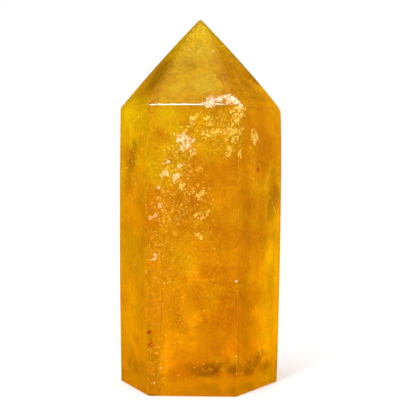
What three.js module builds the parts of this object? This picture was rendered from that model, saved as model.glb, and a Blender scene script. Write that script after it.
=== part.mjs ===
// A polished tower of yellow fluorite: one piece of stone, cut as a six-sided prism with a six-sided point.
// Millimetres, +Z up. The origin is on the base, at the centre of the stone's outline seen from above.
import * as THREE from "three";
import { ConvexGeometry } from "three/addons/geometries/ConvexGeometry.js";

// Driving dimensions of the cut.
const TIP_HEIGHT = 75; // where the facets of the point would meet if the tip were sharp
const SIDE_BOW = 0.22; // how far polishing by hand leaves the middle of a side standing out past a flat one
const POINT_BOW = 0.22; // the same on a facet of the point

// The six sides, anticlockwise seen from above. Each stands on the base and carries one facet of the point.
//   faces     the way the side looks, in degrees anticlockwise from +X
//   reach     its distance from the axis, at the base
//   flare     how much further out it is at the shoulder than at the base
//   shoulder  the height at which the side turns into its facet of the point
const SIDES = [
  { faces: -155.6, reach: 14.95, flare: -0.05, shoulder: 56.6 }, // front left
  { faces: -92.9, reach: 14.45, flare: 0.05, shoulder: 56.5 }, // front
  { faces: -31.6, reach: 13.8, flare: 0.35, shoulder: 56.4 }, // front right
  { faces: 29.0, reach: 13.6, flare: 1.2, shoulder: 56.2 }, // back right
  { faces: 88.5, reach: 14.3, flare: 0.1, shoulder: 57.1 }, // back
  { faces: 150.5, reach: 14.6, flare: 0.0, shoulder: 56.8 }, // back left
];

// How round polishing and handling have left the corners. An edge takes its radius from its two corners.
const TIP_RADIUS = 0.5;
const EDGE_RADIUS = 0.35;
const WORN_RADIUS = 1.2;
const WORN_SIDES = [2, 3]; // the sides that meet at the worn shoulder corner, as places in SIDES
const BASE_RADIUS = 0.3;
const ARC_STEPS = 4; // flats across a rounded edge

const CLOSE = 1e-6; // slack for rounding errors

// One plane of the cut. `normal` points out of the stone, and `reach` is its distance from the origin.
function cut(kind, side, normal, point) {
  return { kind, side, normal, reach: normal.dot(point) };
}

// The saw cut that the stone stands on.
function baseCut() {
  return cut("base", null, new THREE.Vector3(0, 0, -1), new THREE.Vector3());
}

// The point half way from `low` to `high`, moved out of the stone by `bow`.
function bowedMiddle(low, high, bow) {
  const out = new THREE.Vector2(high.y - low.y, low.x - high.x).setLength(bow);
  return low.clone().add(high).divideScalar(2).add(out);
}

// The cuts of one side, from foot to tip: two for the bowed side and two for its facet of the point. The
// profile is drawn in the upright plane through the axis, as x out from the axis and y up.
function sideCuts({ faces, reach, flare, shoulder }, side) {
  const foot = new THREE.Vector2(reach, 0);
  const edge = new THREE.Vector2(reach + flare, shoulder);
  const tip = new THREE.Vector2(0, TIP_HEIGHT);
  const profile = [foot, bowedMiddle(foot, edge, SIDE_BOW), edge, bowedMiddle(edge, tip, POINT_BOW), tip];
  const turn = THREE.MathUtils.degToRad(faces);
  const inPlan = ({ x, y }) => new THREE.Vector3(x * Math.cos(turn), x * Math.sin(turn), y);
  return profile.slice(1).map((high, i) => {
    const low = profile[i];
    const normal = inPlan(new THREE.Vector2(high.y - low.y, low.x - high.x).normalize());
    const kind = high.y > shoulder ? "point" : "side";
    return cut(kind, side, normal, inPlan(low));
  });
}

// Every set of three cuts.
function triples(cuts) {
  return cuts.flatMap((a, i) =>
    cuts.slice(i + 1).flatMap((b, j) => cuts.slice(i + j + 2).map((c) => [a, b, c])),
  );
}

// The radius of the corner where three cuts meet. Only a shoulder corner has both kinds of cut, and only the
// tip has three facets of the point that belong to three different sides.
function cornerRadius(corner) {
  const kinds = new Set(corner.map(({ kind }) => kind));
  const sides = new Set(corner.map(({ side }) => side));
  if (kinds.has("base")) return BASE_RADIUS;
  if (!kinds.has("side") && sides.size === corner.length) return TIP_RADIUS;
  const worn = kinds.size === 2 && [...sides].every((side) => WORN_SIDES.includes(side));
  return worn ? WORN_RADIUS : EDGE_RADIUS;
}

// The centre of the ball of this radius that touches three cuts from inside, or null where they don't meet.
function ballCentre(corner, radius) {
  const [a, b, c] = corner.map(({ normal }) => normal);
  const rows = new THREE.Matrix3().set(a.x, a.y, a.z, b.x, b.y, b.z, c.x, c.y, c.z);
  if (Math.abs(rows.determinant()) < CLOSE) return null;
  const reaches = new THREE.Vector3(...corner.map(({ reach }) => reach)).subScalar(radius);
  return reaches.applyMatrix3(rows.invert());
}

// True where a ball lies wholly inside the stone.
function fitsInside(cuts, centre, radius) {
  return cuts.every(({ normal, reach }) => normal.dot(centre) <= reach - radius + CLOSE);
}

// The part of a ball that shows between three cuts, as points evenly spread over it.
function roundedCorner(corner, centre, radius) {
  const points = [];
  for (let i = 0; i <= ARC_STEPS; i++) {
    for (let j = 0; j <= ARC_STEPS - i; j++) {
      const shares = [i, j, ARC_STEPS - i - j];
      const out = new THREE.Vector3();
      corner.forEach(({ normal }, k) => out.addScaledVector(normal, shares[k]));
      points.push(out.setLength(radius).add(centre));
    }
  }
  return points;
}

// The whole stone: the smallest convex solid round its rounded corners, moved to stand centred on the origin.
function towerGeometry() {
  const cuts = [baseCut(), ...SIDES.flatMap(sideCuts)];
  const points = triples(cuts).flatMap((corner) => {
    const radius = cornerRadius(corner);
    const centre = ballCentre(corner, radius);
    const real = centre !== null && fitsInside(cuts, centre, radius);
    return real ? roundedCorner(corner, centre, radius) : [];
  });
  const geometry = new ConvexGeometry(points);
  geometry.computeBoundingBox();
  const middle = geometry.boundingBox.getCenter(new THREE.Vector3());
  return geometry.translate(-middle.x, -middle.y, 0);
}

const fluorite = new THREE.MeshStandardMaterial({
  color: 0xdc8f0a,
  roughness: 0.08,
  metalness: 0,
  transparent: true,
  opacity: 0.8,
});

const tower = new THREE.Mesh(towerGeometry(), fluorite);
tower.name = "fluorite_tower";

const group = new THREE.Group();
group.add(tower);
export default group;
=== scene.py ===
"""A polished tower of yellow fluorite: the stone, the flaws inside it, and a small studio round it."""

import logging
import math
from dataclasses import dataclass
from enum import Enum, IntEnum

import bpy
import numpy as np
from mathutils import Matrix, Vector, noise


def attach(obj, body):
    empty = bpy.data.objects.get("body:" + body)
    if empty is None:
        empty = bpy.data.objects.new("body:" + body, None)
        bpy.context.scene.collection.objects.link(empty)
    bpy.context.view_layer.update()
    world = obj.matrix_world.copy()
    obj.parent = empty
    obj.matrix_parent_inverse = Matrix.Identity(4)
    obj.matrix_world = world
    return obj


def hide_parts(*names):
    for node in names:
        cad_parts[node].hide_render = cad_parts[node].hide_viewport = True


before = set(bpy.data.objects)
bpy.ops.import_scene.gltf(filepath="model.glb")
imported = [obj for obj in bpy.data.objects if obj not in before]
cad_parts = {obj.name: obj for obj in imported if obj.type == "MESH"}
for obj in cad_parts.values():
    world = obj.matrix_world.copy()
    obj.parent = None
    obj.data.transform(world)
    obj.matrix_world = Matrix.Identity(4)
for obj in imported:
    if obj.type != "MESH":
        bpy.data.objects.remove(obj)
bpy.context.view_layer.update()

LOG = logging.getLogger("fluorite")

NODE = "fluorite_tower"
BODY = "root"
MM = 0.001  # the script works in millimetres, and Blender in metres
FLUORITE_IOR = 1.434
DULL = 0.2  # the specular level of clouds, crumbs and stains, which hardly shine

Rgba = tuple[float, float, float, float]
Plane = tuple[np.ndarray, float, float]  # a main face's normal, reach from the origin and middle height


class Slot(str, Enum):
    """The record's material slots."""

    STONE = "yellow_fluorite"


class Side(IntEnum):
    """The six sides of the prism, anticlockwise seen from above."""

    FRONT_LEFT = 0
    FRONT = 1
    FRONT_RIGHT = 2
    BACK_RIGHT = 3
    BACK = 4
    BACK_LEFT = 5


# ---------------------------------------------------------------------------------------------------------
# Small helpers

LUMP_WAY = (13.7, -7.1, 3.3)  # how far one step of a seed moves the lumps, in lumps
LUMP_DECAY = (0.7, 2.1)  # how fast finer lumps get weaker, and how many times finer each layer is


def smoothstep(low: float, high: float, value: np.ndarray) -> np.ndarray:
    """A ramp from 0 at `low` to 1 at `high` that starts and ends level."""
    t = np.clip((value - low) / (high - low), 0.0, 1.0)
    return t * t * (3.0 - 2.0 * t)


def fractal(points: np.ndarray, size: float, seed: float, octaves: int = 4) -> np.ndarray:
    """Noise of lumps about `size` large, as one value for each point, mostly between -1 and 1."""
    shift = Vector([seed * way for way in LUMP_WAY])
    return np.array([noise.fractal(Vector(p) / size + shift, *LUMP_DECAY, octaves) for p in points])


def grid(
    width: float, tall: float, cell: float, least: int, over: float = 1.0
) -> tuple[np.ndarray, np.ndarray, list[tuple[int, ...]]]:
    """Lays out a rectangle of square cells.

    Args:
        width: Its size across.
        tall: Its size up.
        cell: The size of a cell.
        least: The least number of cells each way.
        over: How many times larger than that size the grid is.

    Returns:
        The places of its points across and up, each from -`over` to `over`, and the points of each cell.
    """
    columns, rows = (max(least, round(size * over / cell)) for size in (width, tall))
    a, b = (np.linspace(-over, over, count + 1) for count in (columns, rows))
    corners = (i * (rows + 1) + j for i in range(columns) for j in range(rows))
    cells = [(k, k + rows + 1, k + rows + 2, k + 1) for k in corners]
    return np.repeat(a, rows + 1), np.tile(b, columns + 1), cells


def mesh_object(
    name: str,
    points: np.ndarray,
    faces: list[tuple[int, ...]],
    normals: np.ndarray | None = None,
    values: dict[str, np.ndarray] | None = None,
) -> bpy.types.Object:
    """Makes a mesh object from places in millimetres.

    Args:
        name: The object's name.
        points: The vertices, one a row.
        faces: The vertices of each face, anticlockwise seen from outside.
        normals: The shading normal at each vertex, or None for Blender's own.
        values: Named numbers, one for each vertex.

    Returns:
        The object, linked to the scene.
    """
    mesh = bpy.data.meshes.new(name)
    mesh.from_pydata((points * MM).tolist(), [], faces)
    for key, numbers in (values or {}).items():
        mesh.attributes.new(key, "FLOAT", "POINT").data.foreach_set("value", numbers.astype(np.float32))
    mesh.polygons.foreach_set("use_smooth", [True] * len(mesh.polygons))
    if normals is not None:
        mesh.normals_split_custom_set_from_vertices(normals.tolist())
    mesh.update()
    made = bpy.data.objects.new(name, mesh)
    bpy.context.scene.collection.objects.link(made)
    return made


def dress(piece: bpy.types.Object, material: bpy.types.Material) -> bpy.types.Object:
    """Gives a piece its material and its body.

    Args:
        piece: The finished piece.
        material: Its one material.

    Returns:
        The same piece.
    """
    piece.data.materials.clear()
    piece.data.materials.append(material)
    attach(piece, BODY)
    LOG.info("%s: %d faces", piece.name, len(piece.data.polygons))
    return piece


class Tree:
    """A node tree that is wired in short lines."""

    def __init__(self, tree: bpy.types.NodeTree) -> None:
        """Takes the tree over as it is."""
        self.tree = tree

    def add(self, kind: str, sets: dict | None = None, **inputs: object) -> bpy.types.Node:
        """Adds a node.

        Args:
            kind: Blender's type name of the node.
            sets: The node's own settings, by attribute name.
            inputs: Values or output sockets for its inputs, by name with _ for a space, or by number as n0.

        Returns:
            The new node.
        """
        node = self.tree.nodes.new(kind)
        for key, value in (sets or {}).items():
            setattr(node, key, value)
        for key, value in inputs.items():
            place = int(key[1:]) if key[0] == "n" and key[1:].isdigit() else key.replace("_", " ")
            self.feed(node.inputs[place], value)
        return node

    def feed(self, socket: bpy.types.NodeSocket, value: object) -> None:
        """Fills an input.

        Args:
            socket: The input.
            value: An output socket to link to it, or a plain value to set.
        """
        if isinstance(value, bpy.types.NodeSocket):
            self.tree.links.new(value, socket)
        else:
            socket.default_value = value

    def math(self, operation: str, *values: object, clamp: bool = False) -> bpy.types.NodeSocket:
        """Adds a Math node.

        Args:
            operation: What it does.
            values: Its inputs in order.
            clamp: Whether the result is kept between 0 and 1.

        Returns:
            Its output.
        """
        node = self.add("ShaderNodeMath", {"operation": operation, "use_clamp": clamp})
        for socket, value in zip(node.inputs, values):
            self.feed(socket, value)
        return node.outputs[0]

    def vector(self, operation: str, first: object, second: object) -> bpy.types.NodeSocket:
        """Adds a Vector Math node with two inputs."""
        node = self.add("ShaderNodeVectorMath", {"operation": operation}, n0=first, n1=second)
        return node.outputs["Value" if operation == "DOT_PRODUCT" else "Vector"]

    def scaled(self, vector: object, by: object) -> bpy.types.NodeSocket:
        """Makes a vector `by` times as long."""
        return self.add("ShaderNodeVectorMath", {"operation": "SCALE"}, Vector=vector, Scale=by).outputs[0]

    def place(self) -> bpy.types.NodeSocket:
        """Gives the place that is shaded, in metres."""
        return self.add("ShaderNodeTexCoord").outputs["Object"]

    def attribute(self, name: str) -> bpy.types.NodeSocket:
        """Reads a named number from the mesh."""
        return self.add("ShaderNodeAttribute", {"attribute_name": name}).outputs["Fac"]

    def blend(self, factor: object, low: object, high: object) -> bpy.types.NodeSocket:
        """Mixes two colours.

        Args:
            factor: The share of the second one.
            low: The first colour.
            high: The second colour.

        Returns:
            The mixed colour.
        """
        node = self.add("ShaderNodeMix", {"data_type": "RGBA"})
        for key, value in (("Factor_Float", factor), ("A_Color", low), ("B_Color", high)):
            self.feed(next(s for s in node.inputs if s.identifier == key), value)
        return next(s for s in node.outputs if s.identifier == "Result_Color")

    def ramp(
        self, value: object, low: object, high: object, start: object = 0.0, end: object = 1.0
    ) -> bpy.types.NodeSocket:
        """Maps one range of numbers to another, with soft ends.

        Args:
            value: The number.
            low: Where the range begins.
            high: Where it ends.
            start: The result up to `low`.
            end: The result from `high` on.

        Returns:
            The mapped number.
        """
        sets = {"interpolation_type": "SMOOTHSTEP"}
        inputs = {"Value": value, "From_Min": low, "From_Max": high, "To_Min": start, "To_Max": end}
        return self.add("ShaderNodeMapRange", sets, **inputs).outputs[0]


def new_group(
    name: str, inputs: dict[str, object], outputs: tuple[str, ...]
) -> tuple[Tree, bpy.types.Node, bpy.types.Node]:
    """Makes an empty shader node group.

    Args:
        name: The group's name.
        inputs: The inputs with their defaults: a number, or three for a vector.
        outputs: The number outputs.

    Returns:
        The tree, its input node and its output node.
    """
    group = bpy.data.node_groups.new(name, "ShaderNodeTree")
    for key, value in inputs.items():
        kind = "NodeSocketVector" if isinstance(value, tuple) else "NodeSocketFloat"
        group.interface.new_socket(key, in_out="INPUT", socket_type=kind).default_value = value
    for key in outputs:
        group.interface.new_socket(key, in_out="OUTPUT", socket_type="NodeSocketFloat")
    tree = Tree(group)
    return tree, tree.add("NodeGroupInput"), tree.add("NodeGroupOutput")


SEED_WAY = (0.13, -0.07, 0.11)  # how far one step of a seed moves the clouds, in metres
GRAIN_FINER = 9.0  # how many times finer the grain is than the wisps
GRAIN_BAND = (0.35, 0.65)  # the band of noise that the grain is drawn from
CRYSTAL_JOG = 0.0004  # how far the borders between crystals stray, in metres
SHARE_RIM = 0.1  # how softly a crystal is picked out


def cloud_group() -> bpy.types.NodeTree:
    """Clouds that fill space: a mask of wisps with torn edges, and a finer grain inside them.

    Returns:
        The group, with the inputs Size (mm), Cover, Softness, Seed and the outputs Mask and Grain.
    """
    defaults = {"Size": 6.0, "Cover": 0.5, "Softness": 0.15, "Seed": 0.0}
    tree, given, out = new_group("clouds", defaults, ("Mask", "Grain"))
    moved = tree.vector("ADD", tree.place(), tree.scaled(SEED_WAY, given.outputs["Seed"]))
    scale = tree.math("DIVIDE", 1.0 / MM, given.outputs["Size"])
    look = {"Detail": 6.0, "Roughness": 0.62, "Distortion": 0.2}
    wisps = tree.add("ShaderNodeTexNoise", Vector=moved, Scale=scale, **look)
    finer = tree.math("MULTIPLY", scale, GRAIN_FINER)
    grain = tree.add("ShaderNodeTexNoise", Vector=moved, Scale=finer, Detail=3.0, Roughness=0.7)
    cut = tree.math("SUBTRACT", 1.0, given.outputs["Cover"])
    top = tree.math("ADD", cut, given.outputs["Softness"])
    tree.feed(out.inputs["Mask"], tree.ramp(wisps.outputs["Fac"], cut, top))
    tree.feed(out.inputs["Grain"], tree.ramp(grain.outputs["Fac"], *GRAIN_BAND))
    return tree.tree


def crystal_group() -> bpy.types.NodeTree:
    """A mosaic of small crystals, each with a number of its own.

    Returns:
        The group, with the inputs Size (mm) and Share, and the outputs Bright and Dark, which mark that share
        of the crystals each.
    """
    tree, given, out = new_group("crystals", {"Size": 0.4, "Share": 0.2}, ("Bright", "Dark"))
    place = tree.place()
    scale = tree.math("DIVIDE", 1.0 / MM, given.outputs["Size"])
    rough = tree.add("ShaderNodeTexNoise", Vector=place, Scale=scale, Detail=1.0)
    moved = tree.vector("ADD", place, tree.scaled(rough.outputs["Color"], CRYSTAL_JOG))
    cells = tree.add("ShaderNodeTexVoronoi", Vector=moved, Scale=scale)
    own = tree.add("ShaderNodeSeparateXYZ", Vector=cells.outputs["Color"]).outputs["X"]
    least = tree.math("SUBTRACT", 1.0, given.outputs["Share"])
    tree.feed(out.inputs["Bright"], tree.ramp(own, least, tree.math("ADD", least, SHARE_RIM)))
    share = given.outputs["Share"]
    tree.feed(out.inputs["Dark"], tree.ramp(own, tree.math("SUBTRACT", share, SHARE_RIM), share, 1.0, 0.0))
    return tree.tree


def spot_group() -> bpy.types.NodeTree:
    """One spot of colour, round or long, with a soft rim.

    Returns:
        The group, with the inputs Place and Centre (m), Softness, and Across, Up and Out, which are the
        spot's axes over its half sizes (1/m), and the output Mask.
    """
    axis = (1.0, 0.0, 0.0)
    defaults = {"Place": axis, "Centre": axis, "Across": axis, "Up": axis, "Out": axis, "Softness": 0.5}
    tree, given, out = new_group("spot", defaults, ("Mask",))
    away = tree.vector("SUBTRACT", given.outputs["Place"], given.outputs["Centre"])
    x, y, z = (tree.vector("DOT_PRODUCT", away, given.outputs[key]) for key in ("Across", "Up", "Out"))
    scaled = tree.add("ShaderNodeCombineXYZ", X=x, Y=y, Z=z).outputs[0]
    reach = tree.add("ShaderNodeVectorMath", {"operation": "LENGTH"}, n0=scaled).outputs["Value"]
    low = tree.math("SUBTRACT", 1.0, given.outputs["Softness"])
    high = tree.math("ADD", 1.0, given.outputs["Softness"])
    tree.feed(out.inputs["Mask"], tree.ramp(reach, low, high, 1.0, 0.0))
    return tree.tree


@dataclass(frozen=True)
class Groups:
    """The shader node groups that materials share.

    Attributes:
        clouds: Clouds that fill space.
        crystals: A mosaic of small crystals.
        spot: One spot of colour.
    """

    clouds: bpy.types.NodeTree
    crystals: bpy.types.NodeTree
    spot: bpy.types.NodeTree

    def cloud(self, tree: Tree, size: float, cover: float, softness: float, seed: float) -> bpy.types.Node:
        """Adds a node of clouds, whose largest wisps are `size` millimetres large."""
        values = {"Size": size, "Cover": cover, "Softness": softness, "Seed": seed}
        return tree.add("ShaderNodeGroup", {"node_tree": self.clouds}, **values)


def new_material(name: str) -> tuple[bpy.types.Material, Tree, bpy.types.Node, bpy.types.Node]:
    """Makes a new material.

    Args:
        name: Its name.

    Returns:
        The material, its tree, its Principled shader and its output node.
    """
    material = bpy.data.materials.new(name)
    material.use_nodes = True
    nodes = material.node_tree.nodes
    return material, Tree(material.node_tree), nodes["Principled BSDF"], nodes["Material Output"]


# ---------------------------------------------------------------------------------------------------------
# The shape of the stone


@dataclass(frozen=True)
class Profile:
    """One side in its own upright plane, as places (out from the axis, up) in millimetres.

    Attributes:
        turn: The way it looks, in radians anticlockwise from +X.
        foot: Its lowest place.
        belly: The middle of its bow.
        shoulder: Where it turns into its facet of the point.
        brow: The middle of the facet's bow.
    """

    turn: float
    foot: np.ndarray
    belly: np.ndarray
    shoulder: np.ndarray
    brow: np.ndarray

    @property
    def out(self) -> np.ndarray:
        """The way the side looks, in plan."""
        return np.array([math.cos(self.turn), math.sin(self.turn), 0.0])

    @property
    def along(self) -> np.ndarray:
        """The way that runs to the right across the side, seen from outside."""
        return np.array([-math.sin(self.turn), math.cos(self.turn), 0.0])

    def reach(self, height: np.ndarray) -> np.ndarray:
        """How far out the bowed side stands, along a parabola through its three places.

        Args:
            height: Heights above the base.

        Returns:
            The distance from the axis at each.
        """
        (r0, z0), (r1, z1), (r2, z2) = self.foot, self.belly, self.shoulder
        first = r0 * (height - z1) * (height - z2) / ((z0 - z1) * (z0 - z2))
        second = r1 * (height - z0) * (height - z2) / ((z1 - z0) * (z1 - z2))
        return first + second + r2 * (height - z0) * (height - z1) / ((z2 - z0) * (z2 - z1))


def meeting(first: tuple[np.ndarray, float], second: tuple[np.ndarray, float]) -> np.ndarray:
    """Where two planes, each a normal and a reach, cross the upright plane of their side."""
    rows = [(math.hypot(n[0], n[1]), n[2]) for n, _ in (first, second)]
    return np.linalg.solve(np.array(rows), np.array([first[1], second[1]]))


@dataclass(frozen=True)
class Chip:
    """A small shell-shaped chip knocked out of an upright edge.

    Attributes:
        side: The side to the left of the edge, seen from outside.
        height: Its height above the base.
        radius: The radius of the hollow.
        bite: How deep it goes past the sharp edge.
    """

    side: Side
    height: float
    radius: float
    bite: float


class StoneShape:
    """The polished surface as a field: below 0 inside the stone, 0 on its skin, in millimetres."""

    MAIN_FACE = 20.0  # mm2; the roundings between the main faces are far smaller than this
    SAME_FACE = 0.99998  # two triangles lie in one face where the cosine between their normals is above this
    EDGE_RADIUS = 0.35
    WORN_RADIUS = 1.2
    WORN_SPREAD = 4.5
    TIP_RADIUS = 0.55
    TIP_SPREAD = 1.5
    FILLET = 5.16  # sharpness of the soft maximum times the radius that it gives between sides at 60 degrees
    UPRIGHT = 0.2  # the normal of a side rises less than this
    LEVEL = 0.95  # the normal of a facet of the point rises less than this
    CAP = 3.0  # the top facets have their middle within this of the highest one
    WAVES = 7
    WAVE_HEIGHT = 0.012
    WAVE_LENGTHS = (5.0, 11.0)
    CHIP_SHARPNESS = 40.0  # how sharp the rim of a chip is
    CHIP_REACH = 1.0  # how far round a hollow the skin is looked at
    STEP = 0.01  # how far apart the field is read for its slope
    ROUNDS = 5  # how often a point is moved towards the skin

    def __init__(self, node: bpy.types.Object, chips: tuple[Chip, ...], seed: int = 5) -> None:
        """Reads the main faces from the solid.

        Args:
            node: The solid.
            chips: The chips on its edges.
            seed: Chooses the waves that polishing left.
        """
        planes = self._main_faces(node.data)
        self.profiles = self._profiles(planes)
        self.tip = self._tip(planes)
        draw = np.random.default_rng(seed)
        ways = draw.normal(size=(self.WAVES, 3))
        lengths = draw.uniform(*self.WAVE_LENGTHS, self.WAVES)
        self.waves = ways / np.linalg.norm(ways, axis=1)[:, None] * (2 * math.pi / lengths)[:, None]
        self.phases = draw.uniform(0, 2 * math.pi, self.WAVES)
        self.wear_spots = (
            (self.corner(Side.FRONT_RIGHT, 1.0), self.WORN_RADIUS, self.WORN_SPREAD),
            (self.tip, self.TIP_RADIUS, self.TIP_SPREAD),
        )
        self.chips = [(self._chip_centre(chip), chip.radius) for chip in chips]

    def _main_faces(self, mesh: bpy.types.Mesh) -> list[Plane]:
        """Gathers the solid's triangles into its main faces.

        Args:
            mesh: The solid's mesh.

        Returns:
            The main faces, the largest first.
        """
        found: list[list] = []
        for face in sorted(mesh.polygons, key=lambda f: -f.area):
            normal = np.array(face.normal)
            centre = np.array(face.center) / MM
            area = face.area / MM**2
            same = next((f for f in found if normal @ f[0] > self.SAME_FACE), None)
            if same is None:
                same = [normal, 0.0, 0.0, 0.0]
                found.append(same)
            same[1] += area
            same[2] += area * float(normal @ centre)
            same[3] += area * centre[2]
        return [(n, reach / area, height / area) for n, area, reach, height in found if area > self.MAIN_FACE]

    def _profiles(self, planes: list[Plane]) -> list[Profile]:
        """Reads each side from its two side faces and its two facets.

        Args:
            planes: The main faces.

        Returns:
            The six sides, in the order of Side.
        """
        around = sorted(planes, key=lambda p: math.atan2(p[0][1], p[0][0]))
        upright = [p for p in around if abs(p[0][2]) < self.UPRIGHT]
        sloped = [p for p in around if self.UPRIGHT < p[0][2] < self.LEVEL]
        ground = (np.array([0.0, 0.0, -1.0]), 0.0)
        profiles = []
        for i in range(0, len(upright), 2):
            low, high = sorted(upright[i : i + 2], key=lambda p: p[2])
            facet, cap = sorted(sloped[i : i + 2], key=lambda p: p[2])
            cuts = [ground, *((p[0], p[1]) for p in (low, high, facet, cap))]
            turn = math.atan2(high[0][1], high[0][0])
            profiles.append(Profile(turn, *(meeting(a, b) for a, b in zip(cuts, cuts[1:]))))
        return profiles

    def _tip(self, planes: list[Plane]) -> np.ndarray:
        """Finds where the top facets would meet.

        Args:
            planes: The main faces.

        Returns:
            The sharp tip.
        """
        tall = max(p[2] for p in planes)
        caps = [p for p in planes if self.UPRIGHT < p[0][2] < self.LEVEL and p[2] > tall - self.CAP]
        return np.linalg.lstsq(np.array([p[0] for p in caps]), np.array([p[1] for p in caps]), rcond=None)[0]

    def _chip_centre(self, chip: Chip) -> np.ndarray:
        """Finds the centre of a chip's hollow.

        Args:
            chip: The chip.

        Returns:
            A place just outside the stone.
        """
        share = chip.height / self.profiles[chip.side].shoulder[1]
        corner = self.corner(chip.side, share)
        out = self.profiles[chip.side].out + self.profiles[(chip.side + 1) % len(Side)].out
        return corner + out / np.linalg.norm(out) * (chip.radius - chip.bite)

    def row(self, side: int, share: float) -> tuple[float, float]:
        """A place on a side's sharp profile.

        Args:
            side: The side.
            share: How far up: 0 at the foot, 1 at the shoulder, 2 at the tip.

        Returns:
            How far out from the axis, and how high.
        """
        profile = self.profiles[side]
        if share <= 1.0:
            height = share * profile.shoulder[1]
            return float(profile.reach(np.array(height))), height
        end = np.array([self.tip @ profile.out, self.tip[2]])
        t = share - 1.0
        bow = 4.0 * t * (1.0 - t) * (profile.brow - (profile.shoulder + end) / 2.0)
        place = profile.shoulder * (1.0 - t) + end * t + bow
        return float(place[0]), float(place[1])

    def corner(self, side: int, share: float) -> np.ndarray:
        """The sharp corner between a side and the next one.

        Args:
            side: The side.
            share: How far up: 0 at the foot, 1 at the shoulder, 2 at the tip.

        Returns:
            The corner's place.
        """
        following = (side + 1) % len(Side)
        (r0, z0), (r1, z1) = self.row(side, share), self.row(following, share)
        rows = np.array([self.profiles[side].out[:2], self.profiles[following].out[:2]])
        return np.append(np.linalg.solve(rows, np.array([r0, r1])), (z0 + z1) / 2.0)

    def faces(self, points: np.ndarray) -> np.ndarray:
        """How far outside each main face each point lies.

        Args:
            points: Places in millimetres, one a row.

        Returns:
            A row for each point, with a column for each of the 13 faces.
        """
        columns = [-points[:, 2]]
        for profile in self.profiles:
            across = points @ profile.out
            columns.append(across - profile.reach(points[:, 2]))
            end = np.array([self.tip @ profile.out, self.tip[2]])
            chord = end - profile.shoulder
            length = np.linalg.norm(chord)
            slope = chord / length
            normal = np.array([slope[1], -slope[0]])
            bow = (profile.brow - profile.shoulder) @ normal
            dr, dz = across - profile.shoulder[0], points[:, 2] - profile.shoulder[1]
            u = (dr * slope[0] + dz * slope[1]) / length
            columns.append(dr * normal[0] + dz * normal[1] - 4.0 * bow * u * (1.0 - u))
        return np.stack(columns, axis=1)

    def sharpness(self, points: np.ndarray) -> np.ndarray:
        """How sharp the edges are round each point.

        Args:
            points: Places in millimetres, one a row.

        Returns:
            The sharpness of the soft maximum at each.
        """
        radius = np.full(len(points), self.EDGE_RADIUS)
        for centre, worn, spread in self.wear_spots:
            near = np.exp(-((np.linalg.norm(points - centre, axis=1) / spread) ** 2))
            radius += (worn - self.EDGE_RADIUS) * near
        return self.FILLET / radius

    def field(self, points: np.ndarray, skin: bool = True) -> np.ndarray:
        """The field at each point.

        Args:
            points: Places in millimetres, one a row.
            skin: Whether the waves and chips of the real skin are in it.

        Returns:
            The distance outside the skin, about, and below 0 inside.
        """
        faces = self.faces(points)
        sharp = self.sharpness(points)
        top = faces.max(axis=1)
        value = top + np.log(np.exp(sharp[:, None] * (faces - top[:, None])).sum(axis=1)) / sharp
        if not skin:
            return value
        value += self.WAVE_HEIGHT * np.sin(points @ self.waves.T + self.phases).mean(axis=1)
        for centre, radius in self.chips:
            hollow = radius - np.linalg.norm(points - centre, axis=1)
            rim = self.CHIP_SHARPNESS
            joined = np.logaddexp(value * rim, hollow * rim) / rim
            value = np.where(hollow > value - self.CHIP_REACH, joined, value)
        return value

    def slope(self, points: np.ndarray, skin: bool = True) -> np.ndarray:
        """The field's slope at each point.

        Args:
            points: Places in millimetres, one a row.
            skin: Whether the waves and chips of the real skin are in it.

        Returns:
            One vector a row, about 1 long and pointing outwards.
        """
        steps = np.eye(3) * self.STEP
        pairs = [self.field(points + s, skin) - self.field(points - s, skin) for s in steps]
        return np.stack(pairs, axis=1) / (2.0 * self.STEP)

    def settle(self, points: np.ndarray, skin: bool = True) -> np.ndarray:
        """Moves points onto the skin.

        Args:
            points: Places near it, one a row.
            skin: Whether it has its waves and chips.

        Returns:
            The moved points.
        """
        for _ in range(self.ROUNDS):
            slope = self.slope(points, skin)
            points = points - slope * (self.field(points, skin) / (slope**2).sum(axis=1))[:, None]
        return points

    def on_side(self, side: Side, across: float, height: float) -> tuple[np.ndarray, np.ndarray]:
        """A place on a side or on its facet of the point, and the way out of the stone there.

        Args:
            side: The side.
            across: How far right of the stone's axis, seen from outside.
            height: How far above the base.

        Returns:
            The place on the skin and the unit vector out of the stone.
        """
        profile = self.profiles[side]
        if height < profile.shoulder[1]:
            out = profile.reach(np.array(height))
        else:
            t = (height - profile.shoulder[1]) / (self.tip[2] - profile.shoulder[1])
            out = profile.shoulder[0] * (1.0 - t)
        place = profile.out * float(out) + profile.along * across + np.array([0.0, 0.0, height])
        place = self.settle(place[None, :], skin=False)
        slope = self.slope(place, skin=False)[0]
        return place[0], slope / np.linalg.norm(slope)


@dataclass(frozen=True)
class Spot:
    """An oval place on one side of the stone, or on the side's facet of the point.

    Attributes:
        side: The side.
        across: Its middle, right of the axis seen from outside, in millimetres.
        height: Its middle, above the base. Above the shoulder it lies on the facet.
        width: Its size across.
        tall: Its size up.
        turn: How far it is turned anticlockwise, in degrees.
    """

    side: Side
    across: float
    height: float
    width: float
    tall: float
    turn: float

    @classmethod
    def rows(cls, *rows: tuple) -> tuple["Spot", ...]:
        """Makes one spot from each row of its values, in the order of its attributes."""
        return tuple(cls(*row) for row in rows)

    def frame(self, shape: StoneShape) -> tuple[np.ndarray, np.ndarray, np.ndarray, np.ndarray]:
        """Lays the spot on the stone.

        Args:
            shape: The stone.

        Returns:
            Its middle on the skin, and its unit axes across, up and out.
        """
        middle, out = shape.on_side(self.side, self.across, self.height)
        right = shape.profiles[self.side].along
        up = np.cross(out, right)
        cos, sin = math.cos(math.radians(self.turn)), math.sin(math.radians(self.turn))
        return middle, right * cos + up * sin, up * cos - right * sin, out


# ---------------------------------------------------------------------------------------------------------
# Finishes


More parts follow.
